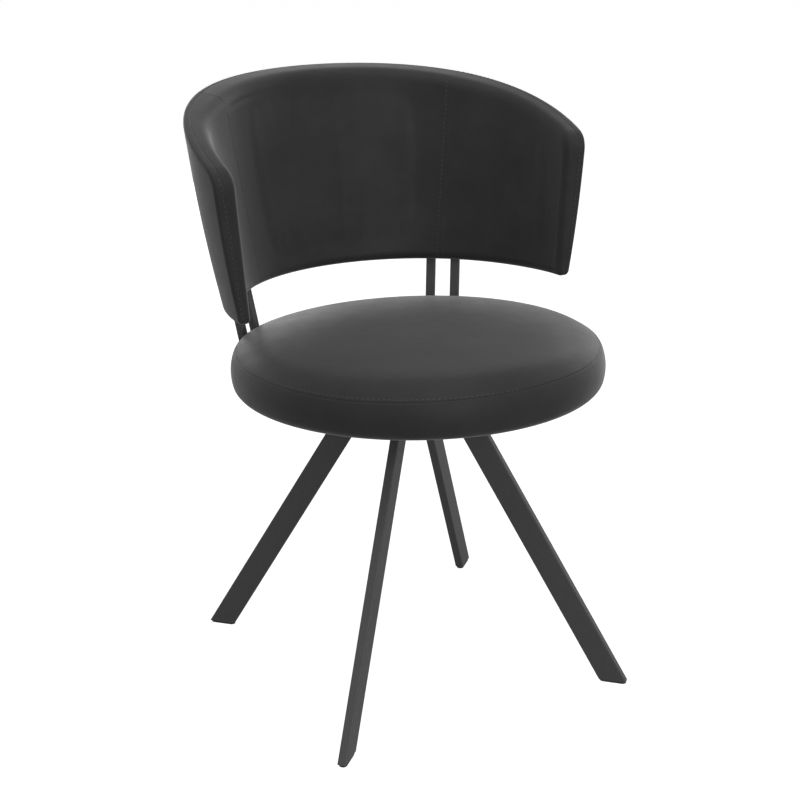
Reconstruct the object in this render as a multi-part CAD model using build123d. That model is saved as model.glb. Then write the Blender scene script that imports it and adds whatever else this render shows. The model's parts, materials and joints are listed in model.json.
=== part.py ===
from build123d import *
import os
from math import atan, atan2, cos, degrees, hypot, radians, sin

# Swivel dining chair: a round padded seat and a wrap-around padded back on four splayed flat-bar legs.
# Millimetres. The floor is z = 0 and the swivel axis is the z axis. The front is -Y, the right is +X.

# --- splayed legs, flat bar on edge -----------------------------------------------------------
LEG_WIDTH = 32.0                    # across the bar, in the upright plane it leans in
LEG_THICKNESS = 12.0
FOOT_X = 201.6                      # centre of a leg where its axis meets the floor
FOOT_Y = 202.5
LEG_TOP_X = 47.9                    # centre of a leg where it meets the base plate
LEG_TOP_Y = 56.2
BAR_EDGE_RADIUS = 1.5

# --- foot glides -------------------------------------------------------------------------------
GLIDE_HEIGHT = 3.0
GLIDE_MARGIN = 0.8                  # glide edge inside the cut end of the leg
GLIDE_STEM_RADIUS = 2.5
GLIDE_STEM_LENGTH = 10.0
GLIDE_STEM_CLEARANCE = 0.1

# --- fixed plate welded on the legs ------------------------------------------------------------
BASE_PLATE_TOP = 369.0
BASE_PLATE_THICKNESS = 6.0
BASE_PLATE_X = 160.0
BASE_PLATE_Y = 176.0
BASE_PLATE_CORNER = 20.0

# --- ball-bearing swivel -----------------------------------------------------------------------
RACE_PLATE_RADIUS = 76.0
RACE_PLATE_THICKNESS = 3.0
BALL_RADIUS = 3.5
BALL_COUNT = 12
BALL_CIRCLE_RADIUS = 46.0
BALL_GROOVE_CLEARANCE = 0.3
PLATE_GAP = 4.0                     # air between the two race plates
CAGE_THICKNESS = 1.2
CAGE_HALF_WIDTH = 6.0
CAGE_POCKET_CLEARANCE = 0.2
PIN_RADIUS = 6.0
PIN_RUNNING_CLEARANCE = 0.05
PIN_HEAD_RADIUS = 12.0
PIN_HEAD_THICKNESS = 3.8
PIN_HEAD_GAP = 0.2
PIN_HEAD_CHAMFER = 0.8
PIN_END_PAST_NUT = 2.0
PIN_HEAD_ACCESS_CLEARANCE = 9.0     # plate hole around the pin head
NUT_ACROSS_FLATS = 18.0
NUT_HEIGHT = 8.0
RACE_BOLT_CIRCLE_RADIUS = 63.0
RACE_BOLT_RADIUS = 4.0
RACE_BOLT_HEAD_RADIUS = 6.4
RACE_BOLT_HEAD_HEIGHT = 4.4
BOLT_CLEARANCE = 0.3                # radial play of a bolt in a clearance hole

# --- tilted seat mounting ----------------------------------------------------------------------
RECLINE = 2.25                      # degrees that the seat and back lean to the rear
RAIL_HEIGHT = 22.6                  # on the swivel axis, from the race plate to the seat plate
RAIL_WIDTH = 24.0
RAIL_LENGTH = 130.0
RAIL_WALL = 3.0
SEAT_PLATE_X = 250.0
SEAT_PLATE_Y = 240.0
SEAT_PLATE_SHIFT = 10.0             # plate centre behind the swivel axis
SEAT_PLATE_THICKNESS = 4.0
SEAT_PLATE_CORNER = 22.0
SEAT_PLATE_OPENING_RADIUS = 30.0
SEAT_SCREW_EDGE = 15.0              # screw centres inside the sides of the plate
SEAT_SCREW_Y = 60.0

# --- round seat, before it is tilted; heights are above its underside --------------------------
SEAT_CENTRE_Y = -15.3
SEAT_WIDEST_RADIUS = 241.8
SEAT_WIDEST_HEIGHT = 25.2
SEAT_FOOT_INSET = 5.8               # from the widest line in to where the side would meet the bottom
SEAT_BOTTOM_ROUNDING = 15.0
SEAT_SEAM_INSET = 5.8               # from the widest line in to the seam round the top panel
SEAT_SEAM_HEIGHT = 50.2
SEAT_CROWN_HEIGHT = 83.4
SEAT_SHOULDER_RADIUS = 130.0        # where the crown begins to fall faster
SEAT_SHOULDER_DROP = 5.6            # below the middle of the crown
LEATHER_THICKNESS = 1.6
LEATHER_TURN = 17.0                 # leather turned in under the edge of the board
DUST_COVER_THICKNESS = 0.8
DUST_COVER_GAP = 1.0
BOARD_INSET = 19.8                  # edge of the board inside the widest line
SEAT_BOARD_THICKNESS = 15.0

# --- screws, bolts and tee nuts in wood --------------------------------------------------------
SCREW_RADIUS = 3.0
SCREW_HEAD_RADIUS = 6.0
SCREW_HEAD_HEIGHT = 3.3
TEE_FLANGE_RADIUS = 9.0
TEE_FLANGE_THICKNESS = 1.5
TEE_BARREL_RADIUS = 4.0
TEE_BARREL_LENGTH = 6.0
TEE_BORE_CLEARANCE = 0.1
TEE_SINK = 1.0                      # flange face below the inner face of the curved plywood
BOLT_END_INSET = 0.5                # bolt end short of the tee nut flange
HEAD_CHAMFER_SHARE = 0.5            # of the height of a screw head
SOCKET_SHARE = 0.4                  # socket corner radius as a share of the head radius
SOCKET_FLOOR_SHARE = 0.3            # head left under a socket as a share of its height

# --- back, a shell revolved about an axis that leans to the rear ------------------------------
BACK_LEAN = 6.0
BACK_CENTRE_Y = -3.0
BACK_SEAT_GAP = 23.8                # between the crown of the seat and the bottom of the back
BACK_INSIDE_SEAT = 27.8             # inner side at the bottom, inside the widest line of the seat
BACK_INNER_SLOPE = 0.07
INNER_PAD_THICKNESS = 11.0          # at the bottom
SHELL_SLOPE = 0.11                  # of the bent plywood inside the back
SHELL_THICKNESS = 9.0
SHELL_MARGIN = 14.0                 # plywood edge inside the padded outline
OUTER_PAD_BOTTOM = 5.7              # thickness outside the plywood at the bottom
OUTER_PAD_MIDDLE = 11.8             # thickness at the middle height
OUTER_PAD_TOP = 5.9                 # thickness at the top height
OUTER_MIDDLE_H = 130.0
OUTER_TOP_H = 290.0
BACK_FRONT_Y = -6.5                 # flat front ends of the wings
WING_HEIGHT = 186.3                 # where the top edge would meet the front ends
BACK_TOP_REAR_HEIGHT = 272.1        # at the rear end of the top line
BACK_TOP_MIDDLE_Y = 130.0
BACK_TOP_CROWN = 12.5               # of the top line above a straight one, at its middle
BACK_TOP_PAST_BACK = 36.2           # rear end of the top line behind the outer side
BACK_CORNER_RADIUS = 28.0           # upper front corner of a wing, seen from the side
BACK_INNER_ROUNDING = 9.0
BACK_OUTER_ROUNDING = 6.0
BACK_SEAM_ANGLE = 39.2              # from the rear, at the bottom
BACK_SEAM_TWIST = 2.75              # degrees wider per 100 up
BACK_SEAM_GAP = 0.4

# --- bent flat-bar posts that carry the back ---------------------------------------------------
POST_WIDTH = 12.7
POST_THICKNESS = 9.5
POST_EDGE_CHAMFER = 1.0
POST_CENTRE_Y = 1.7                 # the posts fan out about this point
POST_AZIMUTH = 39.25                # middle of a pair, from the rear
POST_HALF_SPACING = 17.55
POST_BACK_GAP = 7.29                # inner face outside the bottom edge of the back
POST_LEAN = 0.195                   # outward per unit up
POST_OVERLAP = 133.0                # top of a post above the bottom of the back
POST_INNER_RADIUS = 95.0
POST_BEND_RADIUS = 18.0
POST_BOLT_END = 23.0                # upper bolt below the top of its post
POST_BOLT_SPACING = 62.0
SPACER_RADIUS = 6.0
SPACER_HOLE_CLEARANCE = 0.3

# --- sizes that follow -------------------------------------------------------------------------
LEG_TOP_Z = BASE_PLATE_TOP - BASE_PLATE_THICKNESS
LOWER_RACE_TOP = BASE_PLATE_TOP + RACE_PLATE_THICKNESS
UPPER_RACE_BOTTOM = LOWER_RACE_TOP + PLATE_GAP
UPPER_RACE_TOP = UPPER_RACE_BOTTOM + RACE_PLATE_THICKNESS
BALL_CENTRE_Z = LOWER_RACE_TOP + PLATE_GAP / 2
BALL_GROOVE_RADIUS = BALL_RADIUS + BALL_GROOVE_CLEARANCE
RAIL_SPACING = 2 * RACE_BOLT_CIRCLE_RADIUS * cos(radians(45))
SEAT_PLATE_BOTTOM = UPPER_RACE_TOP + RAIL_HEIGHT
SEAT_PLATE_TOP = SEAT_PLATE_BOTTOM + SEAT_PLATE_THICKNESS
SEAT_SCREW_X = SEAT_PLATE_X / 2 - SEAT_SCREW_EDGE
RAIL_TOP_INSIDE = SEAT_PLATE_BOTTOM - RAIL_WALL
BOARD_BOTTOM = SEAT_PLATE_TOP + DUST_COVER_THICKNESS
BOARD_TOP = BOARD_BOTTOM + SEAT_BOARD_THICKNESS
SEAT_BOTTOM = BOARD_BOTTOM - LEATHER_THICKNESS
SEAT_WIDEST_Z = SEAT_BOTTOM + SEAT_WIDEST_HEIGHT
SEAT_SEAM_Z = SEAT_BOTTOM + SEAT_SEAM_HEIGHT
SEAT_CROWN_Z = SEAT_BOTTOM + SEAT_CROWN_HEIGHT
SEAT_FOOT_RADIUS = SEAT_WIDEST_RADIUS - SEAT_FOOT_INSET
SEAT_SEAM_RADIUS = SEAT_WIDEST_RADIUS - SEAT_SEAM_INSET
SEAT_BOARD_RADIUS = SEAT_WIDEST_RADIUS - BOARD_INSET
TURNED_EDGE_RADIUS = SEAT_BOARD_RADIUS - LEATHER_TURN
RECLINE_PIVOT_Z = SEAT_WIDEST_Z
BACK_BOTTOM = SEAT_CROWN_Z + BACK_SEAT_GAP
BACK_INNER_RADIUS = SEAT_WIDEST_RADIUS - BACK_INSIDE_SEAT
SHELL_INNER_RADIUS = BACK_INNER_RADIUS + INNER_PAD_THICKNESS
SHELL_OUTER_RADIUS = SHELL_INNER_RADIUS + SHELL_THICKNESS
SHELL_MIDDLE_RADIUS = SHELL_INNER_RADIUS + SHELL_THICKNESS / 2
BACK_OUTER_RADIUS = SHELL_OUTER_RADIUS + OUTER_PAD_BOTTOM
BACK_OUTER_MIDDLE_RADIUS = SHELL_OUTER_RADIUS + SHELL_SLOPE * OUTER_MIDDLE_H + OUTER_PAD_MIDDLE
BACK_OUTER_TOP_RADIUS = SHELL_OUTER_RADIUS + SHELL_SLOPE * OUTER_TOP_H + OUTER_PAD_TOP
BACK_TOP_REAR_Y = BACK_CENTRE_Y + BACK_OUTER_TOP_RADIUS + BACK_TOP_PAST_BACK
POST_LEAN_ANGLE = degrees(atan(POST_LEAN))
POST_RADIUS = BACK_OUTER_RADIUS + POST_BACK_GAP + POST_THICKNESS / 2
POST_TOP_Z = BACK_BOTTOM + POST_OVERLAP
POST_BOLT_Z = (POST_TOP_Z - POST_BOLT_END - POST_BOLT_SPACING, POST_TOP_Z - POST_BOLT_END)
LARGE = 1500.0                      # longer than the chair, for cutting tools


def at_swivel(z=0.0):
    """A place on the swivel axis."""
    return Pos(0, 0, z)


def reclined(shape):
    """Tilt a seat or back piece to the rear."""
    return at_swivel(RECLINE_PIVOT_Z) * Rot(X=-RECLINE) * at_swivel(-RECLINE_PIVOT_Z) * shape


def rod(radius, bottom, top, x=0.0, y=0.0):
    """An upright round bar between two heights."""
    return Pos(x, y, bottom) * Cylinder(radius, top - bottom, align=(Align.CENTER, Align.CENTER, Align.MIN))


def slab(size_x, size_y, bottom, top, corner):
    """An upright plate with round corners between two heights."""
    outline = RectangleRounded(size_x, size_y, corner)
    return at_swivel(bottom) * extrude(outline, top - bottom)


def above(z):
    """Everything higher than a height, as a cutting tool."""
    return Pos(0, 0, z) * Box(LARGE, LARGE, LARGE, align=(Align.CENTER, Align.CENTER, Align.MIN))


def ring_places(radius, count, first_angle=0.0):
    """Equally spaced points on a circle about the swivel axis."""
    angles = [radians(first_angle + 360.0 * i / count) for i in range(count)]
    return [(radius * cos(a), radius * sin(a)) for a in angles]


# --- base --------------------------------------------------------------------------------------
def leg_run():
    """Plan direction from foot to top of the right rear leg, and its slope."""
    run_x = LEG_TOP_X - FOOT_X
    run_y = LEG_TOP_Y - FOOT_Y
    return run_x, run_y, hypot(run_x, run_y)


def stem_hole(radius):
    """Upright bore for a glide stem in the end of the right rear leg."""
    x, y = foot_cut_centre()
    return rod(radius, 0, GLIDE_HEIGHT + GLIDE_STEM_LENGTH, x, y)


def foot_cut_centre():
    """Middle of the level cut at the foot of the right rear leg."""
    run_x, run_y, _ = leg_run()
    share = GLIDE_HEIGHT / LEG_TOP_Z
    return FOOT_X + run_x * share, FOOT_Y + run_y * share


def leg():
    """Right rear leg: a bar on edge, leaning inward, cut level at both ends."""
    run_x, run_y, _ = leg_run()
    along = Vector(run_x, run_y, LEG_TOP_Z).normalized()
    across = Vector(0, 0, 1).cross(along).normalized()
    end = Plane(origin=(FOOT_X, FOOT_Y, 0), x_dir=across, z_dir=along)
    section = RectangleRounded(LEG_THICKNESS, LEG_WIDTH, BAR_EDGE_RADIUS)
    bar = extrude(end * section, 2 * LEG_TOP_Z, both=True)
    bar = (bar & above(GLIDE_HEIGHT)) - above(LEG_TOP_Z)
    return bar - stem_hole(GLIDE_STEM_RADIUS + GLIDE_STEM_CLEARANCE)


def glide():
    """Right rear glide: a flat nylon foot with a stem that plugs into the leg."""
    run_x, run_y, run = leg_run()
    x, y = foot_cut_centre()
    cut_length = LEG_WIDTH * hypot(run, LEG_TOP_Z) / LEG_TOP_Z
    length = cut_length - 2 * GLIDE_MARGIN
    width = LEG_THICKNESS - 2 * GLIDE_MARGIN
    turn = Rot(Z=degrees(atan2(run_y, run_x)))
    pad = Pos(x, y, 0) * turn * extrude(SlotOverall(length, width), GLIDE_HEIGHT)
    stem = rod(GLIDE_STEM_RADIUS, GLIDE_HEIGHT, GLIDE_HEIGHT + GLIDE_STEM_LENGTH, x, y)
    return pad + stem


def four_corners(shape):
    """The right rear piece and its three mirror images, by name."""
    left = mirror(shape, Plane.YZ)
    return {
        "rear_right": shape,
        "rear_left": left,
        "front_right": mirror(shape, Plane.XZ),
        "front_left": mirror(left, Plane.XZ),
    }


def base_plate():
    """Plate on the leg tops, open in the middle for the pin head."""
    plate = slab(BASE_PLATE_X, BASE_PLATE_Y, LEG_TOP_Z, BASE_PLATE_TOP, BASE_PLATE_CORNER)
    plate -= rod(PIN_HEAD_RADIUS + PIN_HEAD_ACCESS_CLEARANCE, LEG_TOP_Z, BASE_PLATE_TOP)
    for x, y in ring_places(RACE_BOLT_CIRCLE_RADIUS, 4):
        plate -= rod(RACE_BOLT_RADIUS + BOLT_CLEARANCE, LEG_TOP_Z, BASE_PLATE_TOP, x, y)
    return plate


# --- swivel ------------------------------------------------------------------------------------
def race_plate(bottom, bore_radius, first_bolt_angle):
    """Round plate with a ball groove, a pin bore and four tapped holes."""
    top = bottom + RACE_PLATE_THICKNESS
    plate = rod(RACE_PLATE_RADIUS, bottom, top) - rod(bore_radius, bottom, top)
    for x, y in ring_places(RACE_BOLT_CIRCLE_RADIUS, 4, first_bolt_angle):
        plate -= rod(RACE_BOLT_RADIUS, bottom, top, x, y)
    return plate - at_swivel(BALL_CENTRE_Z) * Torus(BALL_CIRCLE_RADIUS, BALL_GROOVE_RADIUS)


def bearing_balls():
    """The ring of steel balls between the race plates."""
    places = ring_places(BALL_CIRCLE_RADIUS, BALL_COUNT)
    return [Pos(x, y, BALL_CENTRE_Z) * Sphere(BALL_RADIUS) for x, y in places]


def ball_cage():
    """Flat ring that keeps the balls apart."""
    bottom = BALL_CENTRE_Z - CAGE_THICKNESS / 2
    top = BALL_CENTRE_Z + CAGE_THICKNESS / 2
    cage = rod(BALL_CIRCLE_RADIUS + CAGE_HALF_WIDTH, bottom, top)
    cage -= rod(BALL_CIRCLE_RADIUS - CAGE_HALF_WIDTH, bottom, top)
    for x, y in ring_places(BALL_CIRCLE_RADIUS, BALL_COUNT):
        cage -= rod(BALL_RADIUS + CAGE_POCKET_CLEARANCE, bottom, top, x, y)
    return cage


def swivel_pin():
    """Centre pin: a flat head under the lower plate and a shank up through the nut."""
    head_top = BASE_PLATE_TOP - PIN_HEAD_GAP
    head = rod(PIN_HEAD_RADIUS, head_top - PIN_HEAD_THICKNESS, head_top)
    shank = rod(PIN_RADIUS, head_top, UPPER_RACE_TOP + NUT_HEIGHT + PIN_END_PAST_NUT)
    return chamfer(head.edges().group_by(Axis.Z)[0], PIN_HEAD_CHAMFER) + shank


def swivel_nut():
    """Hexagon nut on the upper race plate."""
    hexagon = RegularPolygon(NUT_ACROSS_FLATS / 2, 6, major_radius=False)
    nut = at_swivel(UPPER_RACE_TOP) * extrude(hexagon, NUT_HEIGHT)
    return nut - rod(PIN_RADIUS, UPPER_RACE_TOP, UPPER_RACE_TOP + NUT_HEIGHT)


def button_screw(radius, head_radius, head_height, length):
    """A screw with its head seated at z = 0 and its shank down to -length, with a blind socket."""
    shank = Cylinder(radius, length, align=(Align.CENTER, Align.CENTER, Align.MAX))
    head = Cylinder(head_radius, head_height, align=(Align.CENTER, Align.CENTER, Align.MIN))
    head = chamfer(head.edges().group_by(Axis.Z)[-1], head_height * HEAD_CHAMFER_SHARE)
    socket = extrude(RegularPolygon(head_radius * SOCKET_SHARE, 6), head_height)
    return head + shank - Pos(0, 0, head_height * SOCKET_FLOOR_SHARE) * socket


def race_bolt(length):
    """Bolt that fixes a race plate, head seated at z = 0."""
    return button_screw(RACE_BOLT_RADIUS, RACE_BOLT_HEAD_RADIUS, RACE_BOLT_HEAD_HEIGHT, length)


def lower_race_bolts():
    """Four bolts up through the base plate, ends flush with the lower race plate."""
    length = LOWER_RACE_TOP - LEG_TOP_Z
    places = ring_places(RACE_BOLT_CIRCLE_RADIUS, 4)
    return [Pos(x, y, LEG_TOP_Z) * Rot(X=180) * race_bolt(length) for x, y in places]


def upper_race_bolts():
    """Four bolts down through the rail flanges, ends flush with the upper race plate."""
    seat_z = UPPER_RACE_TOP + RAIL_WALL
    places = ring_places(RACE_BOLT_CIRCLE_RADIUS, 4, 45)
    return [Pos(x, y, seat_z) * race_bolt(seat_z - UPPER_RACE_BOTTOM) for x, y in places]


# --- tilted seat mounting ----------------------------------------------------------------------
def rail_block(width, bottom, tilted_top):
    """A block with a level bottom and a top that follows the tilt of the seat."""
    on_bottom = (Align.CENTER, Align.CENTER, Align.MIN)
    block = at_swivel(bottom) * Box(width, RAIL_LENGTH, SEAT_CROWN_Z - bottom, align=on_bottom)
    return block - reclined(above(tilted_top))


def tilt_rail():
    """Right channel: level flange on the race plate, tilted flange under the seat plate."""
    x = RAIL_SPACING / 2
    outside = rail_block(RAIL_WIDTH, UPPER_RACE_TOP, SEAT_PLATE_BOTTOM)
    inside = rail_block(RAIL_WIDTH, UPPER_RACE_TOP + RAIL_WALL, RAIL_TOP_INSIDE)
    channel = Pos(x, 0, 0) * (outside - Pos(RAIL_WALL, 0, 0) * inside)
    for bolt_x, bolt_y in ring_places(RACE_BOLT_CIRCLE_RADIUS, 4, 45):
        hole_radius = RACE_BOLT_RADIUS + BOLT_CLEARANCE
        channel -= rod(hole_radius, UPPER_RACE_TOP, UPPER_RACE_TOP + RAIL_WALL, bolt_x, bolt_y)
    return channel


def seat_screw_places():
    """Where the seat is screwed to its plate."""
    return [(x, y) for x in (-SEAT_SCREW_X, SEAT_SCREW_X) for y in (-SEAT_SCREW_Y, SEAT_SCREW_Y)]


def seat_plate():
    """Plate welded on the channels and posts, screwed under the seat."""
    plate = slab(SEAT_PLATE_X, SEAT_PLATE_Y, SEAT_PLATE_BOTTOM, SEAT_PLATE_TOP, SEAT_PLATE_CORNER)
    plate = Pos(0, SEAT_PLATE_SHIFT, 0) * plate
    plate -= rod(SEAT_PLATE_OPENING_RADIUS, SEAT_PLATE_BOTTOM, SEAT_PLATE_TOP)
    for x, y in seat_screw_places():
        plate -= rod(SCREW_RADIUS + BOLT_CLEARANCE, SEAT_PLATE_BOTTOM, SEAT_PLATE_TOP, x, y)
    return plate


# --- seat --------------------------------------------------------------------------------------
def seat_profile():
    """Half section of the covered seat, from its axis out."""
    chord_squared = SEAT_SHOULDER_RADIUS ** 2 + SEAT_SHOULDER_DROP ** 2
    crown_radius = chord_squared / (2 * SEAT_SHOULDER_DROP)
    crown_angle = degrees(atan2(SEAT_SHOULDER_RADIUS, crown_radius - SEAT_SHOULDER_DROP))
    crown = CenterArc((0, SEAT_CROWN_Z - crown_radius), crown_radius, 90, -crown_angle)
    seam = (SEAT_SEAM_RADIUS, SEAT_SEAM_Z)
    shoulder = TangentArc(crown @ 1, seam, tangent=crown % 1)
    foot = (SEAT_FOOT_RADIUS, SEAT_BOTTOM)
    side = ThreePointArc(seam, (SEAT_WIDEST_RADIUS, SEAT_WIDEST_Z), foot)
    face = make_face([crown, shoulder, side, Polyline(foot, (0, SEAT_BOTTOM), crown @ 0)])
    return fillet(face.vertices().sort_by_distance(foot)[0], SEAT_BOTTOM_ROUNDING)


def seat_section(inset):
    """Half section of what lies inside the outside of the seat by an inset."""
    half = seat_profile()
    whole = half + mirror(half, Plane.YZ)
    if inset > 0:
        whole = offset(whole, -inset, kind=Kind.INTERSECTION)
    return whole & Rectangle(LARGE, LARGE, align=(Align.MIN, Align.CENTER))


def seat_turned(section):
    """Revolve a half section about the axis of the seat."""
    return Pos(0, SEAT_CENTRE_Y, 0) * revolve(Plane.XZ * section, Axis.Z)


def seat_rod(radius, bottom, top):
    """An upright round bar on the axis of the seat."""
    return rod(radius, bottom, top, 0, SEAT_CENTRE_Y)


def leather_section():
    """Half section of the leather round the seat, open underneath inside its turned edge."""
    opening = Rectangle(TURNED_EDGE_RADIUS, BOARD_BOTTOM, align=Align.MIN)
    return seat_section(0) - seat_section(LEATHER_THICKNESS) - opening


def above_seam():
    """Everything in a half section that lies higher than the seam of the seat."""
    return Pos(0, SEAT_SEAM_Z) * Rectangle(LARGE, LARGE, align=Align.MIN)


def seat_cover_top():
    """Crowned top panel of leather."""
    return seat_turned(leather_section() & above_seam())


def seat_boxing():
    """Side band of leather, turned under the board."""
    return seat_turned(leather_section() - above_seam())


def seat_foam():
    """Foam over and round the board."""
    return seat_turned(seat_section(LEATHER_THICKNESS)) - seat_rod(SEAT_BOARD_RADIUS, BOARD_BOTTOM, BOARD_TOP)


def seat_board():
    """Round plywood board with holes for its tee nuts."""
    board = seat_rod(SEAT_BOARD_RADIUS, BOARD_BOTTOM, BOARD_TOP)
    for x, y in seat_screw_places():
        board -= rod(TEE_BARREL_RADIUS, BOARD_BOTTOM, BOARD_TOP, x, y)
        board -= rod(TEE_FLANGE_RADIUS, BOARD_TOP - TEE_FLANGE_THICKNESS, BOARD_TOP, x, y)
    return board


def dust_cover():
    """Cloth disc between the seat board and the seat plate."""
    cover = seat_rod(TURNED_EDGE_RADIUS - DUST_COVER_GAP, SEAT_PLATE_TOP, BOARD_BOTTOM)
    for x, y in seat_screw_places():
        cover -= rod(SCREW_RADIUS + BOLT_CLEARANCE, SEAT_PLATE_TOP, BOARD_BOTTOM, x, y)
    return cover


def tee_nut():
    """Tee nut with its flange face at z = 0 and its barrel down."""
    flange = rod(TEE_FLANGE_RADIUS, -TEE_FLANGE_THICKNESS, 0)
    barrel = rod(TEE_BARREL_RADIUS, -TEE_FLANGE_THICKNESS - TEE_BARREL_LENGTH, -TEE_FLANGE_THICKNESS)
    bore = rod(SCREW_RADIUS + TEE_BORE_CLEARANCE, -TEE_FLANGE_THICKNESS - TEE_BARREL_LENGTH, 0)
    return flange + barrel - bore


def wood_screw(length):
    """Machine screw for a tee nut, head seated at z = 0."""
    return button_screw(SCREW_RADIUS, SCREW_HEAD_RADIUS, SCREW_HEAD_HEIGHT, length)


def seat_tee_nuts():
    """Four tee nuts sunk in the top of the seat board."""
    return [Pos(x, y, BOARD_TOP) * tee_nut() for x, y in seat_screw_places()]


def seat_screws():
    """Four screws up through the seat plate, ends flush with the tee nuts."""
    length = BOARD_TOP - SEAT_PLATE_BOTTOM
    return [Pos(x, y, SEAT_PLATE_BOTTOM) * Rot(X=180) * wood_screw(length) for x, y in seat_screw_places()]


# --- back --------------------------------------------------------------------------------------
def back_place():
    """Bottom of the leaning axis that the back is turned about."""
    return Pos(0, BACK_CENTRE_Y, BACK_BOTTOM) * Rot(X=-BACK_LEAN)


def back_ring(profile):
    """Revolve a half section about the axis of the back, its closing seam out of the way in front."""
    return back_place() * Rot(Z=-90) * revolve(Plane.XZ * profile, Axis.Z)


def outside_cone(radius):
    """Half section of everything outside a cone with the slope of the plywood."""
    return outside_slope(radius, SHELL_SLOPE)


def outside_slope(radius, slope):
    """Half section of everything outside a sloping line, past the top and bottom of the back."""
    low = -OUTER_MIDDLE_H
    high = OUTER_TOP_H + OUTER_MIDDLE_H
    corners = [(radius + slope * low, low), (LARGE, low), (LARGE, high), (radius + slope * high, high)]
    return make_face(Polyline(*corners, close=True))


def inside_bulge():
    """Half section of everything inside the bulging outer side of the back."""
    middle = (BACK_OUTER_MIDDLE_RADIUS, OUTER_MIDDLE_H)
    side = ThreePointArc((BACK_OUTER_RADIUS, 0), middle, (BACK_OUTER_TOP_RADIUS, OUTER_TOP_H))
    return Pos(side.arc_center.X, side.arc_center.Y) * Circle(side.radius)


def back_outline(margin):
    """Side view of the padded back, or of the plywood inside its margin, as a long prism."""
    front_top = (BACK_FRONT_Y, BACK_BOTTOM + WING_HEIGHT)
    rear_top = (BACK_TOP_REAR_Y, BACK_BOTTOM + BACK_TOP_REAR_HEIGHT)
    share = (BACK_TOP_MIDDLE_Y - BACK_FRONT_Y) / (BACK_TOP_REAR_Y - BACK_FRONT_Y)
    straight_top = WING_HEIGHT + share * (BACK_TOP_REAR_HEIGHT - WING_HEIGHT)
    middle_top = (BACK_TOP_MIDDLE_Y, BACK_BOTTOM + straight_top + BACK_TOP_CROWN)
    rear_bottom = (BACK_TOP_REAR_Y, BACK_BOTTOM)
    top = ThreePointArc(front_top, middle_top, rear_top)
    face = make_face([top, Polyline(rear_top, rear_bottom, (BACK_FRONT_Y, BACK_BOTTOM), front_top)])
    corner = face.vertices().sort_by_distance(front_top)[0]
    face = fillet(corner, BACK_CORNER_RADIUS)
    if margin > 0:
        face = offset(face, -margin, kind=Kind.INTERSECTION)
    return extrude(Plane.YZ * face, LARGE / 2, both=True)


def padded_back():
    """Outside of the whole padded back, with soft edges."""
    section = outside_slope(BACK_INNER_RADIUS, BACK_INNER_SLOPE) & inside_bulge()
    body = back_ring(section) & back_outline(0)
    outer = body.faces().sort_by(SortBy.AREA)[-1]
    body = body.fillet(BACK_OUTER_ROUNDING, outer.edges())
    inner = body.faces().filter_by(GeomType.CONE)[0]
    return body.fillet(BACK_INNER_ROUNDING, inner.edges())


def plywood():
    """The bent plywood before it is drilled."""
    section = outside_cone(SHELL_INNER_RADIUS) - outside_cone(SHELL_OUTER_RADIUS)
    return back_ring(section) & back_outline(SHELL_MARGIN)


def inner_surface_point(height):
    """Where the right seam crosses a height on the inner side, about the axis of the back."""
    angle = radians(BACK_SEAM_ANGLE + BACK_SEAM_TWIST * height / 100)
    radius = BACK_INNER_RADIUS + BACK_INNER_SLOPE * height
    return Vector(radius * sin(angle), radius * cos(angle), height)


def seam_cut():
    """Thin upright cut along the right seam, straight out through the back."""
    low = inner_surface_point(0)
    high = inner_surface_point(OUTER_TOP_H)
    outward = Vector(low.X + high.X, low.Y + high.Y, 0)
    plane = Plane(origin=low, x_dir=outward, z_dir=(high - low).cross(outward))
    return back_place() * (plane * Box(BACK_OUTER_TOP_RADIUS, LARGE, BACK_SEAM_GAP))


def split_at_seams(body):
    """Left wing, centre and right wing of a padded side."""
    cut = seam_cut()
    pieces = (body - cut - mirror(cut, Plane.YZ)).solids().sort_by(Axis.X)
    return pieces[0], pieces[1], pieces[2]


# --- posts and what bolts them to the back -----------------------------------------------------
def post_radius(z):
    """Distance of a post centre line from the fan centre at a height on its straight part."""
    return POST_RADIUS + POST_LEAN * (z - BACK_BOTTOM)


def post_fan(azimuth):
    """Turn a piece made on the x axis to its azimuth, which is measured from the rear."""
    return Pos(0, POST_CENTRE_Y, 0) * Rot(Z=90 - azimuth)


def post_bar():
    """Bent flat bar in the x-z plane: level under the seat, then up and out."""
    level_z = SEAT_PLATE_BOTTOM - POST_THICKNESS / 2
    start = Vector(POST_INNER_RADIUS, 0, level_z)
    corner = Vector(post_radius(level_z), 0, level_z)
    top = Vector(post_radius(POST_TOP_Z), 0, POST_TOP_Z)
    path = FilletPolyline(start, corner, top, radius=POST_BEND_RADIUS)
    section = chamfer(Rectangle(POST_WIDTH, POST_THICKNESS).vertices(), POST_EDGE_CHAMFER)
    return sweep(Plane(origin=start, x_dir=(0, 1, 0), z_dir=(1, 0, 0)) * section, path)


def bolt_places(side, offset_sign):
    """Middle of the two bolt holes of one post, each with z straight out from the back."""
    places = []
    for z in POST_BOLT_Z:
        spot = Pos(post_radius(z), offset_sign * POST_HALF_SPACING, z)
        places.append(post_fan(side * POST_AZIMUTH) * spot * Rot(Y=90 + POST_LEAN_ANGLE))
    return places


def depth_to_cone(place, radius):
    """Distance from a bolt hole centre straight in to a cone of the plywood."""
    local = back_place().inverse() * place
    start = local.position
    inward = Plane(local).z_dir * -1
    far = radius + SHELL_SLOPE * start.Z
    climb = SHELL_SLOPE * inward.Z
    a = inward.X ** 2 + inward.Y ** 2 - climb ** 2
    b = start.X * inward.X + start.Y * inward.Y - far * climb
    c = start.X ** 2 + start.Y ** 2 - far ** 2
    return (-b - (b * b - a * c) ** 0.5) / a


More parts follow.
